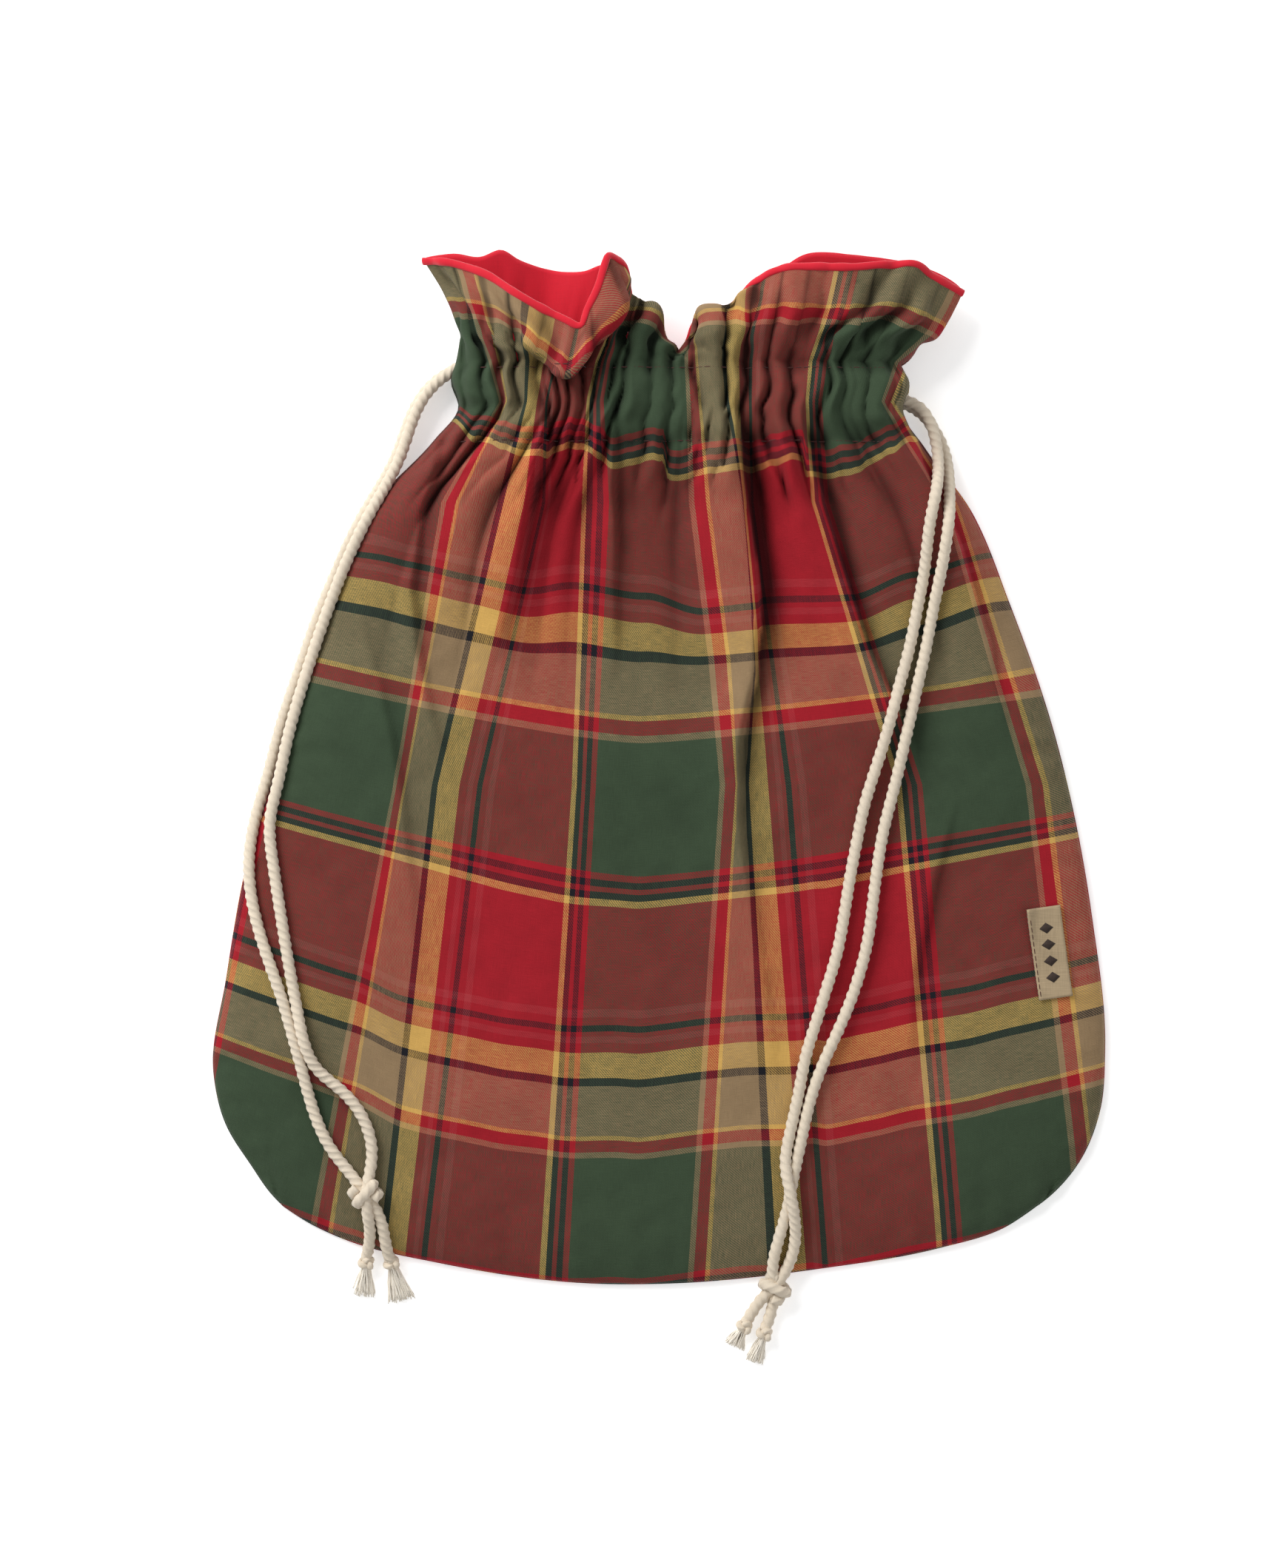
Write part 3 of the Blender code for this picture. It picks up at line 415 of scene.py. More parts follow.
def crumple(x, y, seed):
    """How far the dents raise or lower the cloth."""
    return sum(
        soft_noise(x + slant * y, y, size, seed + k) * height
        for k, (size, height, slant) in enumerate(DENTS)
    )


STITCH_PULL = 0.0008  # how deep a row of stitches lies
STITCH_REACH = 0.0017  # and how far from the row the cloth is drawn in
CHANNEL_RISE = 0.0016  # how far the drawstrings fill out the casing


def casing_pucker(x, y):
    """The rows of stitches pull the cloth in, more at some stitches than at others."""
    pull = 1 + 0.6 * soft_noise(x, y * 0, 0.0035, 17)
    row = CASING_FOOT + 0.0012 * soft_noise(x, y * 0, 0.012, 18)
    pulled = np.exp(-(((y - row) / STITCH_REACH) ** 2))
    channel = ease(row, row + 0.007, y) * (1 - ease(CASING_TOP - 0.009, CASING_TOP, y))
    return channel * CHANNEL_RISE - pulled * STITCH_PULL * pull


# ---------------------------------------------------------------- the cloth coordinates of the tartan


def warp_at(x, y):
    """The warp thread that shows at a place, in repeats."""
    heights, places = (np.array(column) for column in zip(*WARP_PLACES))
    threads = np.array(WARP_THREADS)
    level = np.clip(y, heights[0] - 0.06, heights[-1] + 0.01)
    i = np.clip(np.searchsorted(heights, level, side="right") - 1, 0, len(heights) - 2)
    t = ((level - heights[i]) / (heights[i + 1] - heights[i]))[..., None]
    row = places[i] * (1 - t) + places[i + 1] * t
    k = np.clip((row <= x[..., None]).sum(axis=-1) - 1, 0, len(threads) - 2)
    low = np.take_along_axis(row, k[..., None], -1)[..., 0]
    high = np.take_along_axis(row, k[..., None] + 1, -1)[..., 0]
    return threads[k] + (threads[k + 1] - threads[k]) * (x - low) / (high - low)


def weft_at(x, y):
    """The weft thread that shows at a place, in repeats."""
    on_left = x < WEFT_MIDDLE
    to_seam = np.where(on_left, (WEFT_MIDDLE - x) / WEFT_REACH[0], (x - WEFT_MIDDLE) / WEFT_REACH[1])
    bow = np.where(on_left, ramp(WEFT_BOW, y, 1), ramp(WEFT_BOW, y, 2))
    rise = bow * np.clip(to_seam, 0, 1.1) ** 1.35
    waves = ramp(WEFT_WAVES, x) * ease(0.085, 0.117, y) * (1 - ease(0.135, 0.158, y))
    waves += ramp(WEFT_SAGS, x) * ease(0.026, 0.062, y) * (1 - ease(0.085, 0.112, y))
    waves += ramp(WEFT_DROPS, x) * (1 - ease(-0.080, -0.030, y))
    bend = soft_noise(x, y * 0, 0.006, 21) + 0.6 * soft_noise(x, y * 0, 0.0027, 22)
    folded = WEFT_SCALLOP * bend * ease(0.095, 0.125, y)
    threads, places = np.array(WEFT_PLACES).T
    return np.interp(y - rise - waves - folded, places / 1000, threads)


# ---------------------------------------------------------------- meshes


def hollows(level):
    """How deep each point of a grid of levels lies in a crease, from 0 to 1, as the mask for the shade
    painted into the creases.
    """
    around = level.copy()
    for _ in range(CREASE_SHADE_REACH):
        around[1:-1] = (around[:-2] + 2 * around[1:-1] + around[2:]) / 4
        around[:, 1:-1] = (around[:, :-2] + 2 * around[:, 1:-1] + around[:, 2:]) / 4
    return np.clip((around - level) / CREASE_SHADE_DEPTH, 0, 1)


def object_from(name, points, faces, uvs=None):
    """A smooth-shaded object in the scene, with a place on the cloth for each point if uvs says so."""
    mesh = bpy.data.meshes.new(name)
    mesh.from_pydata(np.asarray(points).tolist(), [], [list(map(int, face)) for face in faces])
    if uvs is not None:
        layer = mesh.uv_layers.new(name="cloth")
        corners = np.zeros(len(mesh.loops), np.int32)
        mesh.loops.foreach_get("vertex_index", corners)
        layer.data.foreach_set("uv", np.asarray(uvs, np.float32)[corners].ravel())
    mesh.shade_smooth()
    made = bpy.data.objects.new(name, mesh)
    bpy.context.collection.objects.link(made)
    return made


def grid_faces(rows, columns):
    """The four-cornered faces of a grid of points."""
    index = np.arange(rows * columns).reshape(rows, columns)
    corners = [index[:-1, :-1], index[:-1, 1:], index[1:, 1:], index[1:, :-1]]
    return np.stack(corners, axis=-1).reshape(-1, 4)


def tube_faces(rings, sides, start=0, turned=False):
    """The faces of a closed tube of rings of points, numbered from start. Turned is for rings whose points
    run the other way round."""
    index = start + np.arange(rings * sides).reshape(rings, sides)
    if turned:
        index = index[:, ::-1]
    wrapped = np.roll(index, -1, axis=1)
    walls = np.stack([index[:-1], index[1:], wrapped[1:], wrapped[:-1]], axis=-1).reshape(-1, 4)
    return [*walls.tolist(), index[0].tolist(), index[-1][::-1].tolist()]


def sheet_object(name, points, uvs, thickness, crease_shade=None):
    """A sheet of cloth over a grid of points, (rows, columns, 3), given thickness on its far side."""
    rows, columns = points.shape[:2]
    made = object_from(name, points.reshape(-1, 3), grid_faces(rows, columns), uvs.reshape(-1, 2))
    # The painted crease shade, if given, goes on as a point attribute that darkens the tartan's colour.
    if crease_shade is not None:
        layer = made.data.attributes.new("crease_shade", "FLOAT", "POINT")
        layer.data.foreach_set("value", crease_shade.astype(np.float32).ravel())
    solid = made.modifiers.new("thickness", "SOLIDIFY")
    solid.thickness = thickness
    solid.offset = -1
    return made


def face_normals(points):
    """The upward normals of a grid of points."""
    along = np.gradient(points, axis=1)
    up = np.gradient(points, axis=0)
    normal = np.cross(along, up)
    return normal / np.linalg.norm(normal, axis=-1, keepdims=True)


def surface_of(objects):
    """A tree of the faces of these objects, as they stand."""
    bpy.context.view_layer.update()
    graph = bpy.context.evaluated_depsgraph_get()
    points, faces = [], []
    for obj in objects:
        evaluated = obj.evaluated_get(graph)
        mesh = evaluated.to_mesh()
        start = len(points)
        faces += [[i + start for i in face.vertices] for face in mesh.polygons]
        points += [evaluated.matrix_world @ vertex.co for vertex in mesh.vertices]
        evaluated.to_mesh_clear()
    return BVHTree.FromPolygons(points, faces)


def height_on(surface, x, y, missing=0.0):
    """The height of the surface at this place."""
    hit = surface.ray_cast(Vector((x, y, 0.2)), Vector((0, 0, -1)))[0]
    return hit.z if hit else missing


# ---------------------------------------------------------------- the sack's cloth

FRONT_HEIGHT = metres([
    (-203, 8.5), (-50, 10), (40, 12.5), (100, 17), (127, 20.5), (142, 21.8), (158, 20.5),
])
BACK_SAG = metres([(-203, 0.6), (90, 0.8), (127, 3), (142, 3.6), (158, 3.6)])
EDGE_HEIGHT = 0.0018
CREASE_SHADE_REACH = 40  # passes of smoothing that find the level of the cloth around a crease, for the painted crease shade
# How deep a crease must be to get the full painted shade.
CREASE_SHADE_DEPTH = 0.0034
FRONT_LINING_GAP = 0.0012
BACK_LINING_GAP = 0.0013
LINING_CLEARANCE = 3  # cells of the grid by which a lining keeps away from the creases
LINING_WIDTH = 0.985
LINING_TUCK = 0.0018
LINING_FLOOR = 0.0012  # the lowest a front cloth or a lining may lie
PUCKER_HEIGHT = 0.0009
BACK_FULLNESS = 0.45  # how much of their height the gathers keep in the back cloth
BACK_FLOOR = 0.0009
BACK_TOP = 0.0082
VALLEY = (-0.0175, 0.0420)  # the x between which the lobes of the mouth leave a valley
CLOTH_THICKNESS = 0.0007
LINING_THICKNESS = 0.0004
# A rim's width and thickness.
FRONT_RIM_SIZE = (0.0032, 0.0019)
BACK_RIM_SIZE = (0.0028, 0.0019)
RIM_SIDES = 12
# Columns, rows up to the top of the casing, and rows of the heading.
FRONT_GRID = (240, 260, 64)
BACK_GRID = (150, 150, 34)


def fullness(across, up):
    """How much of its middle height the sack has here: 0 at the seam and 1 over most of it."""
    sides = 1 - np.abs(across) ** 9
    foot = 1 - (1 - up) ** 20
    return np.sqrt(np.clip(sides, 0, 1) * np.clip(foot, 0, 1))


def body_grid(columns, rows):
    """Even shares across and up, closer together at the seams."""
    across = np.linspace(-1, 1, columns)
    across = across * 0.75 + 0.25 * np.sin(across * math.pi / 2)
    up = np.linspace(0, 1, rows) ** 1.12
    return np.meshgrid(across, up)


def seam_puckers(across, up, x, y):
    """Small waves that run in from the seam."""
    from_side = 1 - np.abs(across)
    near = np.exp(-from_side * 16) + np.exp(-up * 26)
    near = near * ease(0, 0.03, from_side) * ease(0, 0.02, up)
    along = np.where(np.abs(across) > 1 - up, y, x)
    return PUCKER_HEIGHT * near * soft_noise(along, x * 0, 0.0055, 52)


def front_body(columns, rows):
    """The front cloth up to the top of the casing: its points, their shares across, and how far the side
    openings raise it."""
    across, up = body_grid(columns, rows)
    x, y = plan(across, up)
    full = fullness(across, up)
    z = EDGE_HEIGHT + (ramp(FRONT_HEIGHT, y) - EDGE_HEIGHT) * full
    away_from_seam = ease(0, 0.45, full)
    relief = gathers(across, y) + crease_depth(x, y) + casing_pucker(x, y) * full + crumple(x, y, 31)
    opening = np.where(across < 0, ramp(LEFT_OPENING, y), ramp(RIGHT_OPENING, y))
    opening = opening * np.abs(across) ** 6
    z = z + opening + relief * away_from_seam + seam_puckers(across, up, x, y)
    return np.stack([x, y, np.maximum(z, LINING_FLOOR)], axis=-1), across, opening


def through(foot, middle, rim, rows):
    """Rows of points from the foot line to the rim line, past a rounded bend at the middle one."""
    rise = np.linspace(0, 1, rows)[:, None, None]
    below = foot + (middle - foot) * rise * 2
    above = middle + (rim - middle) * (rise * 2 - 1)
    return relaxed(np.where(rise < 0.5, below, above), rows // 4)


def shares_up(points):
    """How far up its own column each point is, 0 to 1, along the cloth."""
    steps = np.linalg.norm(np.diff(points, axis=0), axis=-1)
    along = np.concatenate([np.zeros((1, points.shape[1])), np.cumsum(steps, axis=0)])
    return along / along[-1]


def front_heading(foot, across, warp, rows):
    """The ruffle over the casing, from its foot out to the rim: its smooth surface, the normals of that, and
    how far the cloth stands out from it."""
    first, last = FRONT_HEADING[0][0][0], FRONT_HEADING[-1][0][0]
    rim_x = np.interp(warp, WARP_THREADS, WARP_PLACES[-1][1])
    rim_x = first + (rim_x - rim_x[0]) / (rim_x[-1] - rim_x[0]) * (last - first)
    stations = smooth_curve([rim + middle for rim, middle in FRONT_HEADING], 6)
    table = np.stack([np.interp(rim_x, stations[:, 0], stations[:, k]) for k in range(6)], axis=1)
    points = through(foot, table[:, 3:], table[:, :3], rows)
    share = shares_up(points)
    lift = ease(0.0, 0.30, share)[..., None]
    normal = np.array((0.0, 0.0, 1.0)) * (1 - lift) + face_normals(points) * lift
    x = casing_x(across)[None, :] + 0.0025 * soft_noise(share * 0.04, share * 0 + 1, 0.011, 19)
    tight = tight_gathers(x, CASING_TOP + share * 0.04)
    tight = tight * ((1 - ease(0.0, 0.60, share)) - (1 - share) ** 6)
    for foot_x, rim_x, depth in RUFFLE_CREASES:
        away = x - foot_x - (rim_x - foot_x) * share
        fold = np.exp(-(away / 0.0026) ** 2) - 0.5 * np.exp(-((away - 0.0050) / 0.0040) ** 2)
        tight = tight - depth * fold * ease(0.04, 0.30, share) * (1 - 0.75 * ease(0.55, 1, share))
    broad = (rolls(BROAD_CREASES, x, 0.9) - BROAD_MEAN) * ease(0.0, 0.35, share)
    broad = broad * (1 - 0.7 * ease(0.4, 1, share))
    wave = soft_noise(x, share * 0.03, 0.011, 77) * 0.0016 * ease(0.05, 0.5, share)
    small = crumple(points[..., 0], points[..., 1] + 0.3, 61) * 0.8 * ease(0, 0.2, share)
    return points, normal, tight + broad * 0.9 + wave + small


def tucked_under(lining, cloth, rows):
    """Pushes a lining, above these rows, below the cloth in the valley between the lobes of the mouth."""
    surface = surface_of([cloth])
    for point in lining[rows:].reshape(-1, 3):
        if VALLEY[0] < point[0] < VALLEY[1]:
            point[2] = min(point[2], height_on(surface, point[0], point[1], point[2]) - LINING_TUCK)


def front_cloth(columns, rows, heading_rows):
    """The front cloth's points, its lining's, the cloth coordinates both share, and the mask of the shade
    painted into its creases.
    """
    body, across, opening = front_body(columns, rows)
    weft = weft_at(body[..., 0], body[..., 1])
    warp = warp_at(body[..., 0], body[..., 1])
    smooth, normal, relief = front_heading(body[-1], across[-1], warp[-1], heading_rows)
    above = weft[-1] + (WEFT_AT_RIM - weft[-1]) * shares_up(smooth)
    points = np.concatenate([body, (smooth + normal * relief[..., None])[1:]])
    warp = np.concatenate([warp, np.broadcast_to(warp[-1], smooth[1:].shape[:2])])
    below = lowest_near(lowest_near(relief)) - FRONT_LINING_GAP - LINING_THICKNESS
    inside = smooth + normal * below[..., None]
    lining = np.concatenate([lining_of_body(body, FRONT_LINING_GAP, opening), inside[1:]])
    # The levels from which the painted crease shade is found.
    level = np.concatenate([body[..., 2], body[-1, :, 2] + relief[1:]])
    return points, lining, np.stack([warp, np.concatenate([weft, above[1:]])], axis=-1), hollows(level)


def back_cloth(front_edges, columns, rows, heading_rows):
    """The same for the back, which lies flat but for its gathers and its rim. Its heading meets the front's
    at these side edges."""
    across, up = body_grid(columns, rows)
    x, y = plan(across, up)
    z = ramp(BACK_SAG, y) + BACK_FULLNESS * np.maximum(gathers(across, y), 0)
    z = np.minimum(z * ease(0, 0.3, fullness(across, up)) + BACK_FLOOR, BACK_TOP)
    body = np.stack([x, y, z], axis=-1)
    rim = evenly(smooth_curve(BACK_RIM), columns)
    heading = through(body[-1], (body[-1] + rim) / 2, rim, heading_rows)
    share = shares_up(heading)
    for edge, side in zip(front_edges, (-1, 1)):
        pull = np.where(across[-1] * side > 0, np.abs(across[-1]) ** 10, 0) * np.ones_like(share)
        wanted = evenly(edge, heading_rows)[:, None] + (-0.0009 * side, 0, -0.0010)
        pull = np.stack([pull, pull, pull * ease(0, 0.35, share)], axis=-1)
        heading = heading + (wanted - heading) * pull
    heading = heading[1:]
    share = shares_up(np.concatenate([body[-1:], heading]))[1:]
    points = np.concatenate([body, heading])
    inside = heading + face_normals(heading) * BACK_LINING_GAP
    lining = np.concatenate([lining_of_body(body, -BACK_LINING_GAP), inside])
    weft = weft_at(x, y)
    above = weft[-1] + (WEFT_AT_RIM - weft[-1]) * share
    warp = warp_at(x, y)
    warp = np.concatenate([warp, np.broadcast_to(warp[-1], share.shape)])
    uvs = np.stack([1.7 - warp, np.concatenate([weft, above])], axis=-1)
    # Its painted crease shade is found as seen from below, where its outer side faces.
    return points, lining, uvs, hollows(-points[..., 2])


def lowest_near(values):
    """The lowest value within a few cells of each cell of a grid."""
    for _ in range(LINING_CLEARANCE):
        near = np.pad(values, 1, mode="edge")
        sides = (near[:-2, 1:-1], near[2:, 1:-1], near[1:-1, :-2], near[1:-1, 2:])
        values = np.minimum.reduce((values, *sides))
    return values


def lining_of_body(body, depth, opening=0.0):
    """The lining of a cloth below its heading, which keeps clear of the creases. A back lining's depth is
    below 0, because it lies on its cloth."""
    level = lowest_near(body[..., 2]) if depth > 0 else -lowest_near(-body[..., 2])
    inside = body.copy()
    inside[..., 2] = np.maximum(level - depth - 0.6 * opening, LINING_FLOOR)
    up = np.linspace(0, 1, len(body))[:, None]
    inside[..., 0] *= 1 - (1 - LINING_WIDTH) * (1 - up**8)
    inside[..., 1] += 0.0015 * (1 - up)
    return inside


# ---------------------------------------------------------------- materials


def srgb(*values):
    """A colour as it is seen, 0 to 255, as the shader's linear numbers."""
    shares = np.array(values) / 255
    return tuple(np.where(shares < 0.04045, shares / 12.92, ((shares + 0.055) / 1.055) ** 2.4)) + (1.0,)


YARNS = {
    "green": srgb(56, 71, 52),
    "red": srgb(153, 26, 37),
    "pink": srgb(160, 50, 56),
    "black": srgb(26, 26, 32),
    "yellow": srgb(201, 160, 87),
    "tan": srgb(142, 118, 88),
}


WALES = 150.0  # diagonal ribs of the twill in one repeat
YARN_BLEND = 1.5  # where two yarns cross, the darker one counts for more than its share
CREASE_SHADE_STRENGTH = 0.82  # how much painted shade darkens the tartan's colour in the deepest creases


def set_inputs(node, values):
    """Sets numbers and colours on a node's own sockets."""
    for socket, value in values.items():
        node.inputs[socket].default_value = value


class Nodes:
    """A small helper that builds a material's node tree from left to right."""

    def __init__(self, name):
        self.material = bpy.data.materials.new(name)
        self.material.use_nodes = True
        self.tree = self.material.node_tree
        self.shader = self.tree.nodes["Principled BSDF"]

    def add(self, kind, **settings):
        """A new node of this kind, with these settings."""
        node = self.tree.nodes.new(kind)
        for name, value in settings.items():
            setattr(node, name, value)
        return node

    def link(self, source, target):
        """Feeds one socket into another."""
        self.tree.links.new(source, target)

    def math(self, operation, a, b=None, c=None):
        """The result of an operation on up to three numbers or sockets."""
        node = self.add("ShaderNodeMath", operation=operation)
        for socket, value in zip(node.inputs, (a, b, c)):
            if value is None:
                continue
            if isinstance(value, (int, float)):
                socket.default_value = value
            else:
                self.link(value, socket)
        return node.outputs[0]

    def mix(self, share, a, b, blend="MIX"):
        """Two colours blended, by a share that is a number or a socket."""
        node = self.add("ShaderNodeMix", data_type="RGBA", blend_type=blend)
        for socket, value in ((node.inputs["Factor"], share), (node.inputs["A"], a), (node.inputs["B"], b)):
            if isinstance(value, (int, float, tuple)):
                socket.default_value = value
            else:
                self.link(value, socket)
        return node.outputs["Result"]

    def uv(self):
        """The place on the cloth, and its two coordinates."""
        node = self.add("ShaderNodeUVMap", uv_map="cloth")
        split = self.add("ShaderNodeSeparateXYZ")
        self.link(node.outputs["UV"], split.inputs[0])
        return node.outputs["UV"], split.outputs["X"], split.outputs["Y"]

    def place(self):
        """The place in the object."""
        return self.add("ShaderNodeTexCoord").outputs["Object"]

    def darkened(self, colour, shade):
        """The colour times a shade from 0 to 1."""
        grey = self.add("ShaderNodeCombineColor")
        for socket in grey.inputs:
            self.link(shade, socket)
        return self.mix(1.0, colour, grey.outputs[0], "MULTIPLY")

    def stretched(self, vector, scale):
        """The place, scaled along each axis."""
        node = self.add("ShaderNodeMapping")
        node.inputs["Scale"].default_value = scale
        self.link(vector, node.inputs["Vector"])
        return node.outputs["Vector"]

    def noise(self, vector, scale, detail=2.0):
        """Soft noise from 0 to 1."""
        node = self.add("ShaderNodeTexNoise")
        set_inputs(node, {"Scale": scale, "Detail": detail})
        self.link(vector, node.inputs["Vector"])
        return node.outputs["Fac"]

    def bump(self, height, strength, distance):
        """Small relief for the shader."""
        node = self.add("ShaderNodeBump")
        set_inputs(node, {"Strength": strength, "Distance": distance})
        self.link(height, node.inputs["Height"])
        self.link(node.outputs["Normal"], self.shader.inputs["Normal"])


def stripes(nodes, coordinate):
    """The colour of the threads that run one way, from their place in repeats."""
    node = nodes.add("ShaderNodeValToRGB")
    band = node.color_ramp
    band.interpolation = "CONSTANT"
    total = sum(width for _, width in SETT)
    place = 0.0
    for index, (yarn, width) in enumerate(reversed(SETT)):
        stop = band.elements[index] if index < 2 else band.elements.new(place)
        stop.position = place
        stop.color = tuple(value ** (1 / YARN_BLEND) for value in YARNS[yarn])
        place += width / total
    nodes.link(nodes.math("FRACT", coordinate), node.inputs["Fac"])
    return node.outputs["Color"]


def tartan_material():
    """Warp and weft stripes that cross in a twill, a little uneven, with shade painted into the creases."""
    nodes = Nodes("tartan_twill")
    uv, warp_place, weft_place = nodes.uv()
    warp = stripes(nodes, warp_place)
    weft = stripes(nodes, weft_place)
    diagonal = nodes.math("MULTIPLY", nodes.math("ADD", warp_place, weft_place), WALES)
    wave = nodes.math("SINE", nodes.math("MULTIPLY", diagonal, 2 * math.pi))
    ends = nodes.noise(nodes.stretched(uv, (620, 30, 1)), 1.0, 1.0)
    picks = nodes.noise(nodes.stretched(uv, (30, 620, 1)), 1.0, 1.0)
    share = nodes.math("MULTIPLY_ADD", wave, 0.30, 0.5)
    share = nodes.math("ADD", share, nodes.math("MULTIPLY", nodes.math("SUBTRACT", ends, picks), 0.55))
    clamped = nodes.add("ShaderNodeClamp")
    nodes.link(share, clamped.inputs["Value"])
    blend = nodes.add("ShaderNodeGamma")
    nodes.link(nodes.mix(clamped.outputs[0], weft, warp), blend.inputs["Color"])
    blend.inputs["Gamma"].default_value = YARN_BLEND
    colour = blend.outputs["Color"]
    fade = nodes.noise(nodes.stretched(uv, (14, 14, 1)), 1.0, 3.0)
    shade = nodes.math("MULTIPLY_ADD", nodes.math("ADD", nodes.math("ADD", ends, picks), fade), 0.30, 0.60)
    # Painted shade: the colour is darkened where the cloth lies in a crease.
    crease_shade = nodes.add("ShaderNodeAttribute", attribute_name="crease_shade").outputs["Fac"]
    shade = nodes.math("MULTIPLY", shade, nodes.math("MULTIPLY_ADD", crease_shade, -CREASE_SHADE_STRENGTH, 1.0))
    nodes.link(nodes.darkened(colour, shade), nodes.shader.inputs["Base Color"])
    relief = nodes.math("ADD", nodes.math("MULTIPLY", wave, 0.5), nodes.math("ADD", ends, picks))
    nodes.bump(relief, 0.35, 0.00022)
    rough = nodes.math("MULTIPLY_ADD", fade, 0.10, 0.80)
    nodes.link(rough, nodes.shader.inputs["Roughness"])
    set_inputs(nodes.shader, {"Specular IOR Level": 0.15, "Sheen Weight": 0.03, "Sheen Roughness": 0.5})
    return nodes.material


def plain_weave(name, colour, threads=2200.0, strength=0.25, spread=0.18, sheen=0.15):
    """A cloth of one colour, from its place in the object."""
    nodes = Nodes(name)
    place = nodes.place()
    ends = nodes.noise(nodes.stretched(place, (threads, threads * 0.05, threads * 0.05)), 1.0, 1.0)
    picks = nodes.noise(nodes.stretched(place, (threads * 0.05, threads, threads * 0.05)), 1.0, 1.0)
    cloud = nodes.noise(place, 45.0, 3.0)
    yarns = nodes.math("ADD", ends, picks)
    shade = nodes.math("MULTIPLY_ADD", nodes.math("ADD", yarns, cloud), spread, 1 - 1.5 * spread)
    nodes.link(nodes.darkened(colour, shade), nodes.shader.inputs["Base Color"])
    nodes.bump(yarns, strength, 0.0002)
    set_inputs(nodes.shader, {"Roughness": 0.82, "Specular IOR Level": 0.25, "Sheen Weight": sheen})
    return nodes.material


def cord_material():
    """Natural cotton: fine fibres that run along the strands, and a little unevenness."""
    nodes = Nodes("natural_cotton")
    uv, _, _ = nodes.uv()
    fibres = nodes.noise(nodes.stretched(uv, (900, 3.2, 1)), 1.0, 2.0)
    place = nodes.place()
    flecks = nodes.noise(place, 2600.0, 2.0)
    cloud = nodes.noise(place, 60.0, 2.0)
    tone = nodes.math("MULTIPLY_ADD", nodes.math("ADD", fibres, flecks), 0.5, 0.0)
    colour = nodes.mix(tone, srgb(206, 190, 168), srgb(240, 228, 208))
    colour = nodes.mix(nodes.math("MULTIPLY", cloud, 0.5), colour, srgb(230, 215, 194))
    nodes.link(colour, nodes.shader.inputs["Base Color"])
    nodes.bump(nodes.math("ADD", fibres, flecks), 0.4, 0.00022)
    set_inputs(nodes.shader, {"Roughness": 0.9, "Specular IOR Level": 0.15, "Sheen Weight": 0.25})
    return nodes.material


# ---------------------------------------------------------------- ropes, knots and tassels

ROPE_SIDES = 24
ROPE_STEP = 0.0006
ROPE_TURN = 0.0100  # one full turn of the three strands
ROPE_LEAST = 0.93  # the hollows between the strands go no deeper than to this share of the radius


def rope_profile(width):
    """The outline of three round strands side by side, as (angle, radius)."""
    angles = np.linspace(0, 2 * math.pi, ROPE_SIDES, endpoint=False)
    strand, reach = 0.60 * width / 2, 0.48 * width / 2
    off = (angles + math.pi / 3) % (2 * math.pi / 3) - math.pi / 3
    inside = np.clip(strand**2 - (reach * np.sin(off)) ** 2, 0, None)
    return angles, np.maximum(reach * np.cos(off) + np.sqrt(inside), ROPE_LEAST * width / 2)


def directions_across(path):
    """Two steady directions across the path, at each of its points."""
    tangent = np.gradient(path, axis=0)
    tangent /= np.linalg.norm(tangent, axis=1)[:, None]
    side = np.cross(tangent, (0.0, 0.0, 1.0))
    weak = np.linalg.norm(side, axis=1) < 0.05
    side[weak] = (1.0, 0.0, 0.0)
    side /= np.linalg.norm(side, axis=1)[:, None]
    return side, np.cross(side, tangent)


def rope_mesh(name, path, width, look, twist=0.0):
    """A three-strand rope along a path, and the middles of its rings."""
    length = length_of(path)
    path = evenly(path, max(8, round(length / ROPE_STEP)))
    side, above = directions_across(path)
    along = np.linspace(0, length, len(path))
    angles, radii = rope_profile(width)
    wobble = 1 + 0.02 * np.sin(along * 900 + twist) + 0.015 * np.sin(along * 2310)
    turn = angles[None, :] + along[:, None] * 2 * math.pi / ROPE_TURN + twist
    ring = radii[None, :, None] * wobble[:, None, None] * (
        np.cos(turn)[..., None] * side[:, None] + np.sin(turn)[..., None] * above[:, None]
    )
    points = (path[:, None] + ring).reshape(-1, 3)
    shares = np.broadcast_to(angles[None, :] / (2 * math.pi), (len(path), ROPE_SIDES))
    uvs = np.stack([shares, np.broadcast_to(along[:, None] * 100, shares.shape)], axis=-1).reshape(-1, 2)
    made = object_from(name, points, tube_faces(len(path), ROPE_SIDES), uvs)
    made.data.materials.append(look)
    return made, path


def rim_roll(name, rim, below, size, look):
    """The lining turned over the edge of the cloth, as a hem of this width and thickness along a rim."""
    count = len(rim) * 2
    line = evenly(rim, count)
    inward = evenly(below, count) - line
    tangent = np.gradient(line, axis=0)
    tangent /= np.linalg.norm(tangent, axis=1)[:, None]
    inward -= tangent * (inward * tangent).sum(axis=1)[:, None]
    inward /= np.linalg.norm(inward, axis=1)[:, None]
    inward = relaxed(inward, 6)
    outward = np.cross(tangent, inward)
    line = line + inward * size[0] * 0.3
    angles = np.linspace(0, 2 * math.pi, RIM_SIDES, endpoint=False)
    swell = 0.5 * (1 + 0.12 * soft_noise(np.arange(count) * 1.0, np.zeros(count), 7, 5))
    ring = swell[:, None, None] * (
        size[0] * np.cos(angles)[None, :, None] * inward[:, None]
        + size[1] * np.sin(angles)[None, :, None] * outward[:, None]
    )
    points = (line[:, None] + ring).reshape(-1, 3)
    made = object_from(name, points, tube_faces(count, RIM_SIDES, turned=True))
    made.data.materials.append(look)
    return made


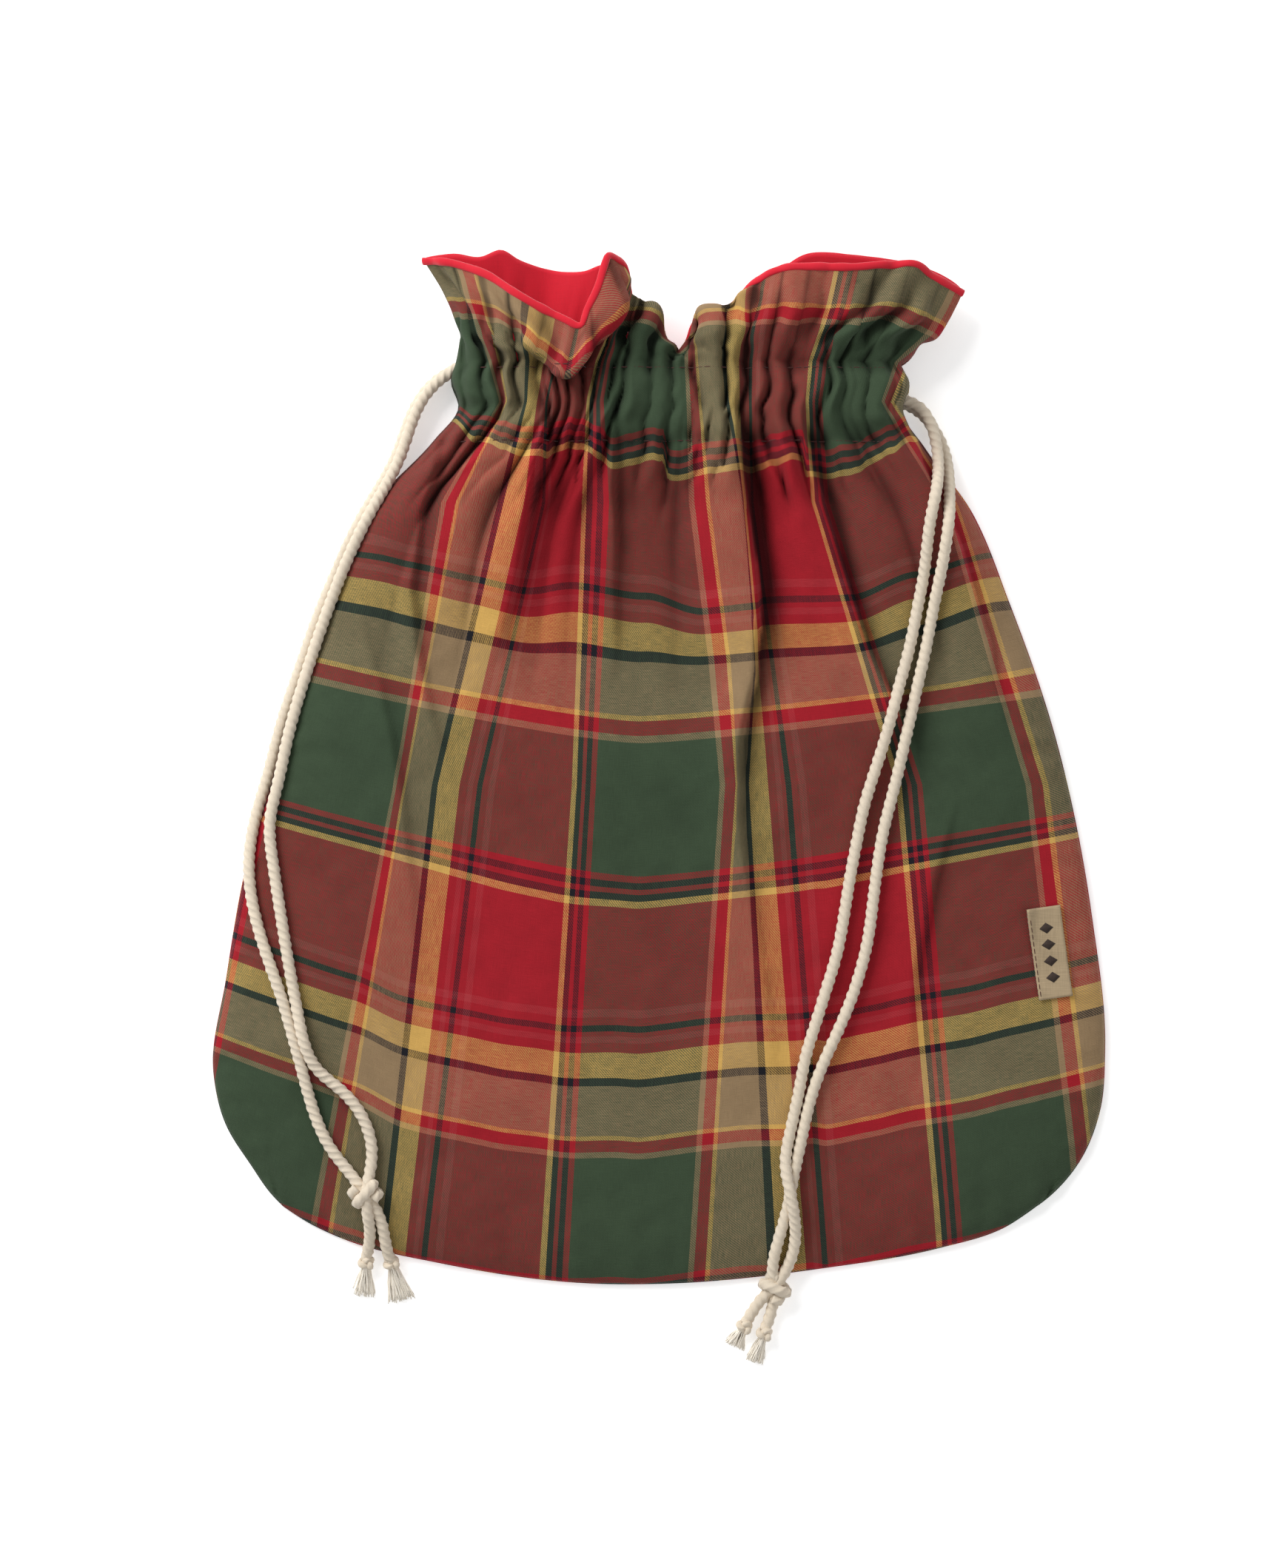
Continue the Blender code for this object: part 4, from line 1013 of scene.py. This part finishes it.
def ball_height(surface, x, y, radius, rise=None):
    """The height at which a ball, let down here, stops on the surface or the floor. Its rise is half its
    height, if that is not its radius."""
    rise = rise or radius
    height = rise
    for ring in (0, 0.35, 0.65, 0.9):
        for turn in range(1 if ring == 0 else 10):
            angle = turn * math.pi / 5
            dx, dy = ring * radius * math.cos(angle), ring * radius * math.sin(angle)
            top = height_on(surface, x + dx, y + dy, missing=None)
            if top is not None:
                height = max(height, top + rise * math.sqrt(1 - ring * ring))
    return height


def laid(route, surface, width, start=None):
    """The route as a limp cord lies on the surface, bridging its hollows. Start is a point before it."""
    line = smooth_curve(route)
    line = evenly(line, 1 + round(length_of(line) / 0.002))
    floor = np.array([ball_height(surface, x, y, width / 2) for x, y in line])
    height = floor.copy()
    for _ in range(12):
        height[1:-1] = np.maximum(floor[1:-1], (height[:-2] + 2 * height[1:-1] + height[2:]) / 4)
    path = np.column_stack([line, height])
    if start is not None:
        path = np.concatenate([[start], path])
    return smooth_curve(path[::2], 4)


def beside(line, offset):
    """The same line, moved sideways by an offset to the left of its direction."""
    line = np.asarray(line)
    along = np.gradient(line, axis=0)
    along /= np.linalg.norm(along, axis=1)[:, None]
    return line + offset * np.stack([-along[:, 1], along[:, 0]], axis=1)


def headed(points, heading):
    """The points, turned about the vertical by a heading."""
    x, y, z = points.T
    along = x * math.cos(heading) - y * math.sin(heading)
    return np.stack([along, x * math.sin(heading) + y * math.cos(heading), z], axis=1)


def overhand(name, centre, heading, size, width, look, twist):
    """A tight overhand knot: a rope along a trefoil, pressed into the given size."""
    t = np.linspace(0, 2 * math.pi, 160)
    x, y, z = np.sin(t) + 2 * np.sin(2 * t), np.cos(t) - 2 * np.cos(2 * t), -np.sin(3 * t)
    trefoil = np.stack([x, y, z], axis=1)
    least, most = trefoil.min(axis=0), trefoil.max(axis=0)
    path = (trefoil - (most + least) / 2) * (np.array(size) - width) / (most - least)
    return rope_mesh(name, headed(path, heading) + centre, width, look, twist)[0]


def wrap(centre, heading, size, width, turns=1.8, points=120):
    """The line of a cord wrapped round others: a helix of this outer size along the heading, whose ends are
    tucked in."""
    t = np.linspace(-1, 1, points)
    tuck = 1 - 0.55 * np.abs(t) ** 6
    angle = t * turns * math.pi + math.pi / 2
    helix = np.stack([t, np.cos(angle) * tuck, np.sin(angle) * tuck], axis=1)
    return headed(helix * (np.array(size) - width) / 2, heading) + centre


TASSEL_SEEDS = {"left": (100, 101), "right": (90, 91)}
TASSEL_YARNS = 120
YARN_RINGS = 9
YARN_SIDES = 5


def tassel(name, start, tip, width, look, seed):
    """A frayed end: loose yarns that spread from the end knot, lying on the floor."""
    dice = np.random.default_rng(seed)
    start, tip = np.array(start), np.array(tip)
    reach = np.linalg.norm(tip - start)
    along = (tip - start) / reach
    across = np.array([-along[1], along[0]])
    points, faces, uvs = [], [], []
    for _ in range(TASSEL_YARNS):
        lane = dice.uniform(-1, 1)
        level = dice.uniform(0, 1)
        length = reach * dice.uniform(0.80, 1.04)
        bend = dice.normal(0, 0.10)
        thick = dice.uniform(0.00016, 0.00026)
        faces += tube_faces(YARN_RINGS, YARN_SIDES, len(points), turned=True)
        for k in range(YARN_RINGS):
            s = k / (YARN_RINGS - 1)
            spread = (0.26 + 0.84 * s**0.7) * width / 2 * lane + bend * width * s * s * 0.5
            ripple = 0.00012 * math.sin(9 * s + 20 * lane)
            middle = start + along * length * s + across * (spread + ripple)
            heap = (0.0036 * (1 - s) ** 1.3 + 0.0016) * math.sqrt(max(0.05, 1 - lane * lane))
            for j in range(YARN_SIDES):
                turn = 2 * math.pi * j / YARN_SIDES
                x, y = middle + across * math.cos(turn) * thick
                points.append((x, y, thick + heap * level + math.sin(turn) * thick))
                uvs.append((j / YARN_SIDES, s))
    made = object_from(name, points, faces, uvs)
    made.data.materials.append(look)
    return made


# The outer size of each kind of knot, and the thickness of the rope it is tied with.
END_KNOT = ((0.0058, 0.0066, 0.0056), 0.0025)
PAIR_KNOT = ((0.0118, 0.0138, 0.0094), 0.0043)
CROSSING_RISE = 0.0012  # how much higher the upper cord passes through the knot
END_KNOT_HEIGHT = 0.0034  # the least height of its middle


def cord_path(route, tail, start, knot, surface):
    """The middle line of one cord: its strand, the point where it passes its knot, and its tail."""
    path = np.concatenate([laid(route, surface, CORD, start), [knot], laid(tail, surface, CORD)])
    path = smooth_curve(relaxed(evenly(path, round(len(path) / 3)), 3), 6)
    path[:, 2] = np.maximum(path[:, 2], CORD * 0.56)
    return path


def drawstring(side, routes, starts, knot_place, tails, tips, cloths, looks, lowest):
    """One drawstring outside the casing: two strands that run on through a knot as two tasselled tails."""
    body = f"{side}_drawstring"
    under = list(cloths)
    # The second look is the cord's cotton painted lighter, for the frayed yarns.
    look, lightened_fray_look = looks
    knot_height = ball_height(surface_of(cloths), *knot_place, 0.0045)
    for which in (lowest, 1 - lowest):
        word = ("first", "second")[which]
        through_knot = (*knot_place, knot_height + CROSSING_RISE * (which != lowest))
        path = cord_path(routes[which], tails[which], starts[which], through_knot, surface_of(under))
        strand, path = rope_mesh(f"{side}_{word}_cord", path, CORD, look, twist=which * 1.1)
        under.append(strand)
        way = np.array(tips[which]) - path[-1][:2]
        way /= np.linalg.norm(way)
        end = np.array([*(path[-1][:2] + way * 0.0012), max(END_KNOT_HEIGHT, path[-1][2])])
        heading = math.atan2(way[1], way[0])
        knot = overhand(f"{side}_{word}_tail_knot", end, heading, *END_KNOT, look, which)
        width = TASSEL_WIDTHS[side][which]
        seed = TASSEL_SEEDS[side][which]
        fray = tassel(f"{side}_{word}_fray", end[:2] + way * 0.001, tips[which], width, lightened_fray_look, seed)
        for piece in (knot, fray):
            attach(piece, body)
        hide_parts(f"{side}_{word}_end_knot")
        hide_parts(f"{side}_{word}_tassel")
        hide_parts(f"{side}_{word}_strand", f"{side}_{word}_tail", f"{side}_drawstring_in_casing")
        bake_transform(strand)
    surface = surface_of(cloths)
    last = np.array(routes[0][-1]) - np.array(knot_place)
    centre = (*knot_place, ball_height(surface, *knot_place, 0.0060, 0.0044) + 0.0004)
    line = wrap(centre, math.atan2(last[1], last[0]), *PAIR_KNOT)
    knot = rope_mesh(f"{side}_pair_knot", line, PAIR_KNOT[1], look, 0.4)[0]
    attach(knot, body)
    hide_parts(f"{side}_knot")


# ---------------------------------------------------------------- the label and the stitches


STITCH_RINGS = [(0.0, 0.35), (0.12, 0.85), (0.5, 1.0), (0.88, 0.85), (1.0, 0.35)]  # (share along, size)
STITCH_SIDES = 6


def capsule(points, faces, start, end, radius):
    """Adds one short stitch with round ends between two points."""
    axis = (end - start) / np.linalg.norm(end - start)
    side = np.cross(axis, (0.0, 0.0, 1.0))
    side /= np.linalg.norm(side)
    above = np.cross(side, axis)
    faces += tube_faces(len(STITCH_RINGS), STITCH_SIDES, len(points))
    for share, size in STITCH_RINGS:
        middle = start + (end - start) * share
        for j in range(STITCH_SIDES):
            turn = 2 * math.pi * j / STITCH_SIDES
            points.append(middle + (side * math.cos(turn) + above * math.sin(turn)) * radius * size)


def stitch_row(name, line, surface, look, stitch=0.0024, gap=0.0008, radius=0.00022):
    """Separate stitches along a line on the plan, laid on the surface."""
    count = int(length_of(line) / (stitch + gap))
    marks = evenly(line, count * 4 + 1)
    points, faces = [], []
    for k in range(count):
        ends = (marks[4 * k], marks[4 * k + 3])
        start, end = (np.array([x, y, height_on(surface, x, y)]) for x, y in ends)
        capsule(points, faces, start, end, radius)
    made = object_from(name, points, faces)
    made.data.materials.append(look)
    return made


def diamond(centre, corners=16):
    """The middle of a diamond on the label, and the points round it, as shares of the label's size."""
    points = [(0.0, centre)]
    for k in range(corners):
        turn = 2 * math.pi * k / corners
        reach = 1 / (abs(math.cos(turn)) + abs(math.sin(turn)))
        across = reach * math.cos(turn) * DIAMOND_REACH[0]
        points.append((across, centre + reach * math.sin(turn) * DIAMOND_REACH[1]))
    return np.array(points)


def label_pieces(surface, tape, ink, thread):
    """A strip of tape with a row of small diamonds, one corner of it lifting."""
    cos, sin = math.cos(LABEL_TURN), math.sin(LABEL_TURN)

    def on_plan(u, v):
        """The place on the sack's plan of a place on the label, each coordinate from -0.5 to 0.5."""
        flat = np.stack([u * LABEL_SIZE[0], v * LABEL_SIZE[1]], axis=-1)
        return flat @ np.array([[cos, sin], [-sin, cos]]) + LABEL_CENTRE

    def on_label(u, v, lift):
        """The same place on the surface, raised by a lift and by the label's own curl."""
        flat = on_plan(u, v)
        z = np.vectorize(lambda x, y: height_on(surface, x, y))(flat[..., 0], flat[..., 1])
        curl = LABEL_CORNER_LIFT * ease(0.55, 1.0, v - u) + LABEL_EDGE_LIFT * (2 * u) ** 2
        return np.concatenate([flat, (z + curl + lift)[..., None]], axis=-1)

    columns, rows = 15, 37
    u, v = np.meshgrid(np.linspace(-0.5, 0.5, columns), np.linspace(-0.5, 0.5, rows))
    frayed = 1 + 0.012 * np.sin(np.arange(rows) * 2.7)[:, None] * (np.abs(u) > 0.49)
    points = on_label(u * frayed, v, LABEL_LIFT)
    label = sheet_object("sewn_label", points, np.stack([u, v], axis=-1), LABEL_THICKNESS)
    label.data.materials.append(tape)
    marks, faces = [], []
    for centre in DIAMONDS:
        flat = diamond(centre)
        first, corners = len(marks), len(flat) - 1
        marks += on_label(flat[:, 0], flat[:, 1], LABEL_LIFT + PRINT_LIFT).tolist()
        faces += [[first, first + 1 + k, first + 1 + (k + 1) % corners] for k in range(corners)]
    mark = object_from("label_pattern", marks, faces)
    solid = mark.modifiers.new("thickness", "SOLIDIFY")
    solid.thickness = PRINT_THICKNESS
    mark.data.materials.append(ink)
    line = on_plan(*np.array(LABEL_STITCH_ENDS).T)
    row = stitch_row("label_thread", line, surface_of([label]), thread, *LABEL_STITCHES)
    for piece, slot in ((label, "label_tape"), (mark, "label_tape"), (row, "thread")):
        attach(piece, "sack")
    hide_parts("label")
    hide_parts("label_stitches")


# ---------------------------------------------------------------- the studio


WHITE = (1, 1, 1, 1)
FLOOR_SIZE = 40
# Each lamp's name, place, size and power. It faces the middle of the floor.
LAMPS = (
    ("key", (-1.2, 1.3, 1.15), 1.2, 42),
    ("fill", (1.4, -0.9, 1.9), 1.6, 6),
)
VIEW_CENTRE = (-0.0066, -0.0064, 0.010)
VIEW_HEIGHT = 0.6142


def studio():
    """A pale floor under an even white sky, with two soft lamps."""
    bpy.ops.mesh.primitive_plane_add(size=FLOOR_SIZE, location=(0, 0, 0))
    floor = bpy.context.object
    floor.name = "floor"
    paper = Nodes("paper")
    set_inputs(paper.shader, {
        "Base Color": (0.93, 0.93, 0.93, 1),
        "Roughness": 0.95,
        "Specular IOR Level": 0.1,
        "Emission Color": WHITE,
        "Emission Strength": 0.40,
    })
    floor.data.materials.append(paper.material)
    world = bpy.data.worlds.new("studio")
    world.use_nodes = True
    set_inputs(world.node_tree.nodes["Background"], {"Color": WHITE, "Strength": 0.47})
    bpy.context.scene.world = world
    for name, place, size, power in LAMPS:
        lamp = bpy.data.lights.new(name, "AREA")
        lamp.size = size
        lamp.energy = power
        made = bpy.data.objects.new(name, lamp)
        made.location = place
        made.rotation_euler = Vector(place).to_track_quat("Z", "Y").to_euler()
        bpy.context.collection.objects.link(made)


def camera():
    """Straight above the sack, upright, with its mouth at the top."""
    lens = bpy.data.cameras.new("camera")
    lens.lens = 85
    lens.sensor_width = 36
    made = bpy.data.objects.new("camera", lens)
    x, y, z = VIEW_CENTRE
    made.location = (x, y, z + VIEW_HEIGHT * lens.lens / lens.sensor_width)
    bpy.context.collection.objects.link(made)
    bpy.context.scene.camera = made
    bpy.context.scene.view_settings.view_transform = "Standard"


# ---------------------------------------------------------------- the sack


def lined_cloths(tartan, lining_red):
    """The front and the back cloth of the sack, and the front lining, the back lining and the two rims."""
    front_points, front_inside, front_uvs, front_crease_shade = front_cloth(*FRONT_GRID)
    casing_row = FRONT_GRID[1] - 1
    edges = (front_points[casing_row:, 0], front_points[casing_row:, -1])
    back_points, back_inside, back_uvs, back_crease_shade = back_cloth(edges, *BACK_GRID)
    # The back's columns are turned round, so that its outer side faces down.
    turned = np.s_[:, ::-1]
    # The cloths carry their painted crease shade as an attribute for the tartan.
    front = sheet_object("front_cloth", front_points, front_uvs, CLOTH_THICKNESS, front_crease_shade)
    back = sheet_object(
        "back_cloth", back_points[turned], back_uvs[turned], CLOTH_THICKNESS, back_crease_shade[turned]
    )
    for cloth in (front, back):
        cloth.data.materials.append(tartan)
    tucked_under(front_inside, front, casing_row)
    # The linings stop a few columns short of the side seams.
    within = np.s_[::2, 7:-7:2]
    front_lining = sheet_object(
        "front_lining_sheet", front_inside[within], front_uvs[within], LINING_THICKNESS
    )
    within = np.s_[:, 3:-3]
    back_lining = sheet_object("back_lining_sheet", back_inside[within], back_uvs[within], LINING_THICKNESS)
    for sheet in (front_lining, back_lining):
        sheet.data.materials.append(lining_red)
    front_rim = rim_roll("front_rim", front_points[-1], front_points[-4], FRONT_RIM_SIZE, lining_red)
    back_rim = rim_roll("back_rim", back_points[-1], back_points[-3], BACK_RIM_SIZE, lining_red)
    return front, back, front_lining, back_lining, front_rim, back_rim


ROW_ENDS = (-0.91, 0.91)  # of the casing's stitches, as shares across the sack
UPPER_ROW_DROP = 0.0025  # how far the upper row is below the top of the casing


def casing_stitches(surface, sewing):
    """The lower and the upper row of stitches along the casing."""
    across = np.linspace(*ROW_ENDS, 120)
    rows = {}
    for word, y in (("lower", CASING_FOOT), ("upper", CASING_TOP - UPPER_ROW_DROP)):
        up = (y - BOTTOM[0][1]) / (CASING_TOP - BOTTOM[0][1])
        x = plan(across, np.full_like(across, up))[0]
        line = np.stack([x, np.full_like(across, y)], axis=1)
        rows[word] = stitch_row(f"front_casing_{word}_stitches_row", line, surface, sewing)
        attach(rows[word], "sack")
        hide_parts(f"front_casing_{word}_stitches", f"back_casing_{word}_stitches")
    return rows


def build():
    """The whole sack: its cloths and linings, its stitches, its label and its drawstrings."""
    tartan = tartan_material()
    lining_red = plain_weave("red_lining", srgb(206, 22, 44), 3000.0, 0.15, 0.10, 0.25)
    cotton = cord_material()
    # The tassels' cut yarns: the cord's cotton painted lighter, to offset the shade the fine yarns cast on
    # one another.
    fibres = plain_weave("cotton_fibres_painted_lighter", srgb(244, 236, 222), 2600.0, 0.2, 0.10)
    sewing = plain_weave("sewing_thread", srgb(74, 38, 34), 6000.0, 0.3, 0.25)
    tape = plain_weave("label_tape", srgb(168, 148, 118), 2600.0, 0.5, 0.35)
    ink = plain_weave("label_print", srgb(58, 46, 40), 2600.0, 0.5, 0.3)

    front, back, front_lining, back_lining, front_rim, back_rim = lined_cloths(tartan, lining_red)
    for piece in (front, front_lining, front_rim):
        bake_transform(piece)
    for piece in (back, back_lining, back_rim):
        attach(piece, "sack")
    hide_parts("front_panel", "front_heading", "perimeter_seam")
    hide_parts("back_panel")
    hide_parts("front_lining", "front_heading_lining")
    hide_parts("back_lining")

    surface = surface_of([front])
    rows = casing_stitches(surface, sewing)
    label_pieces(surface, tape, ink, sewing)

    apart = ramp(PAIR_APART, np.array(LEFT_PAIR)[:, 1])[:, None]
    left_routes = [
        np.concatenate([beside(LEFT_PAIR, -apart), LEFT_OUTER]),
        np.concatenate([beside(LEFT_PAIR, apart), LEFT_INNER]),
    ]
    right_routes = [RIGHT_FRONT, RIGHT_BACK]
    cloths, looks = [front, back], (cotton, fibres)
    drawstring("left", left_routes, LEFT_STARTS, LEFT_KNOT, LEFT_TAILS, LEFT_TIPS, cloths, looks, 0)
    drawstring("right", right_routes, RIGHT_STARTS, RIGHT_KNOT, RIGHT_TAILS, RIGHT_TIPS, cloths, looks, 1)


camera()
studio()
build()
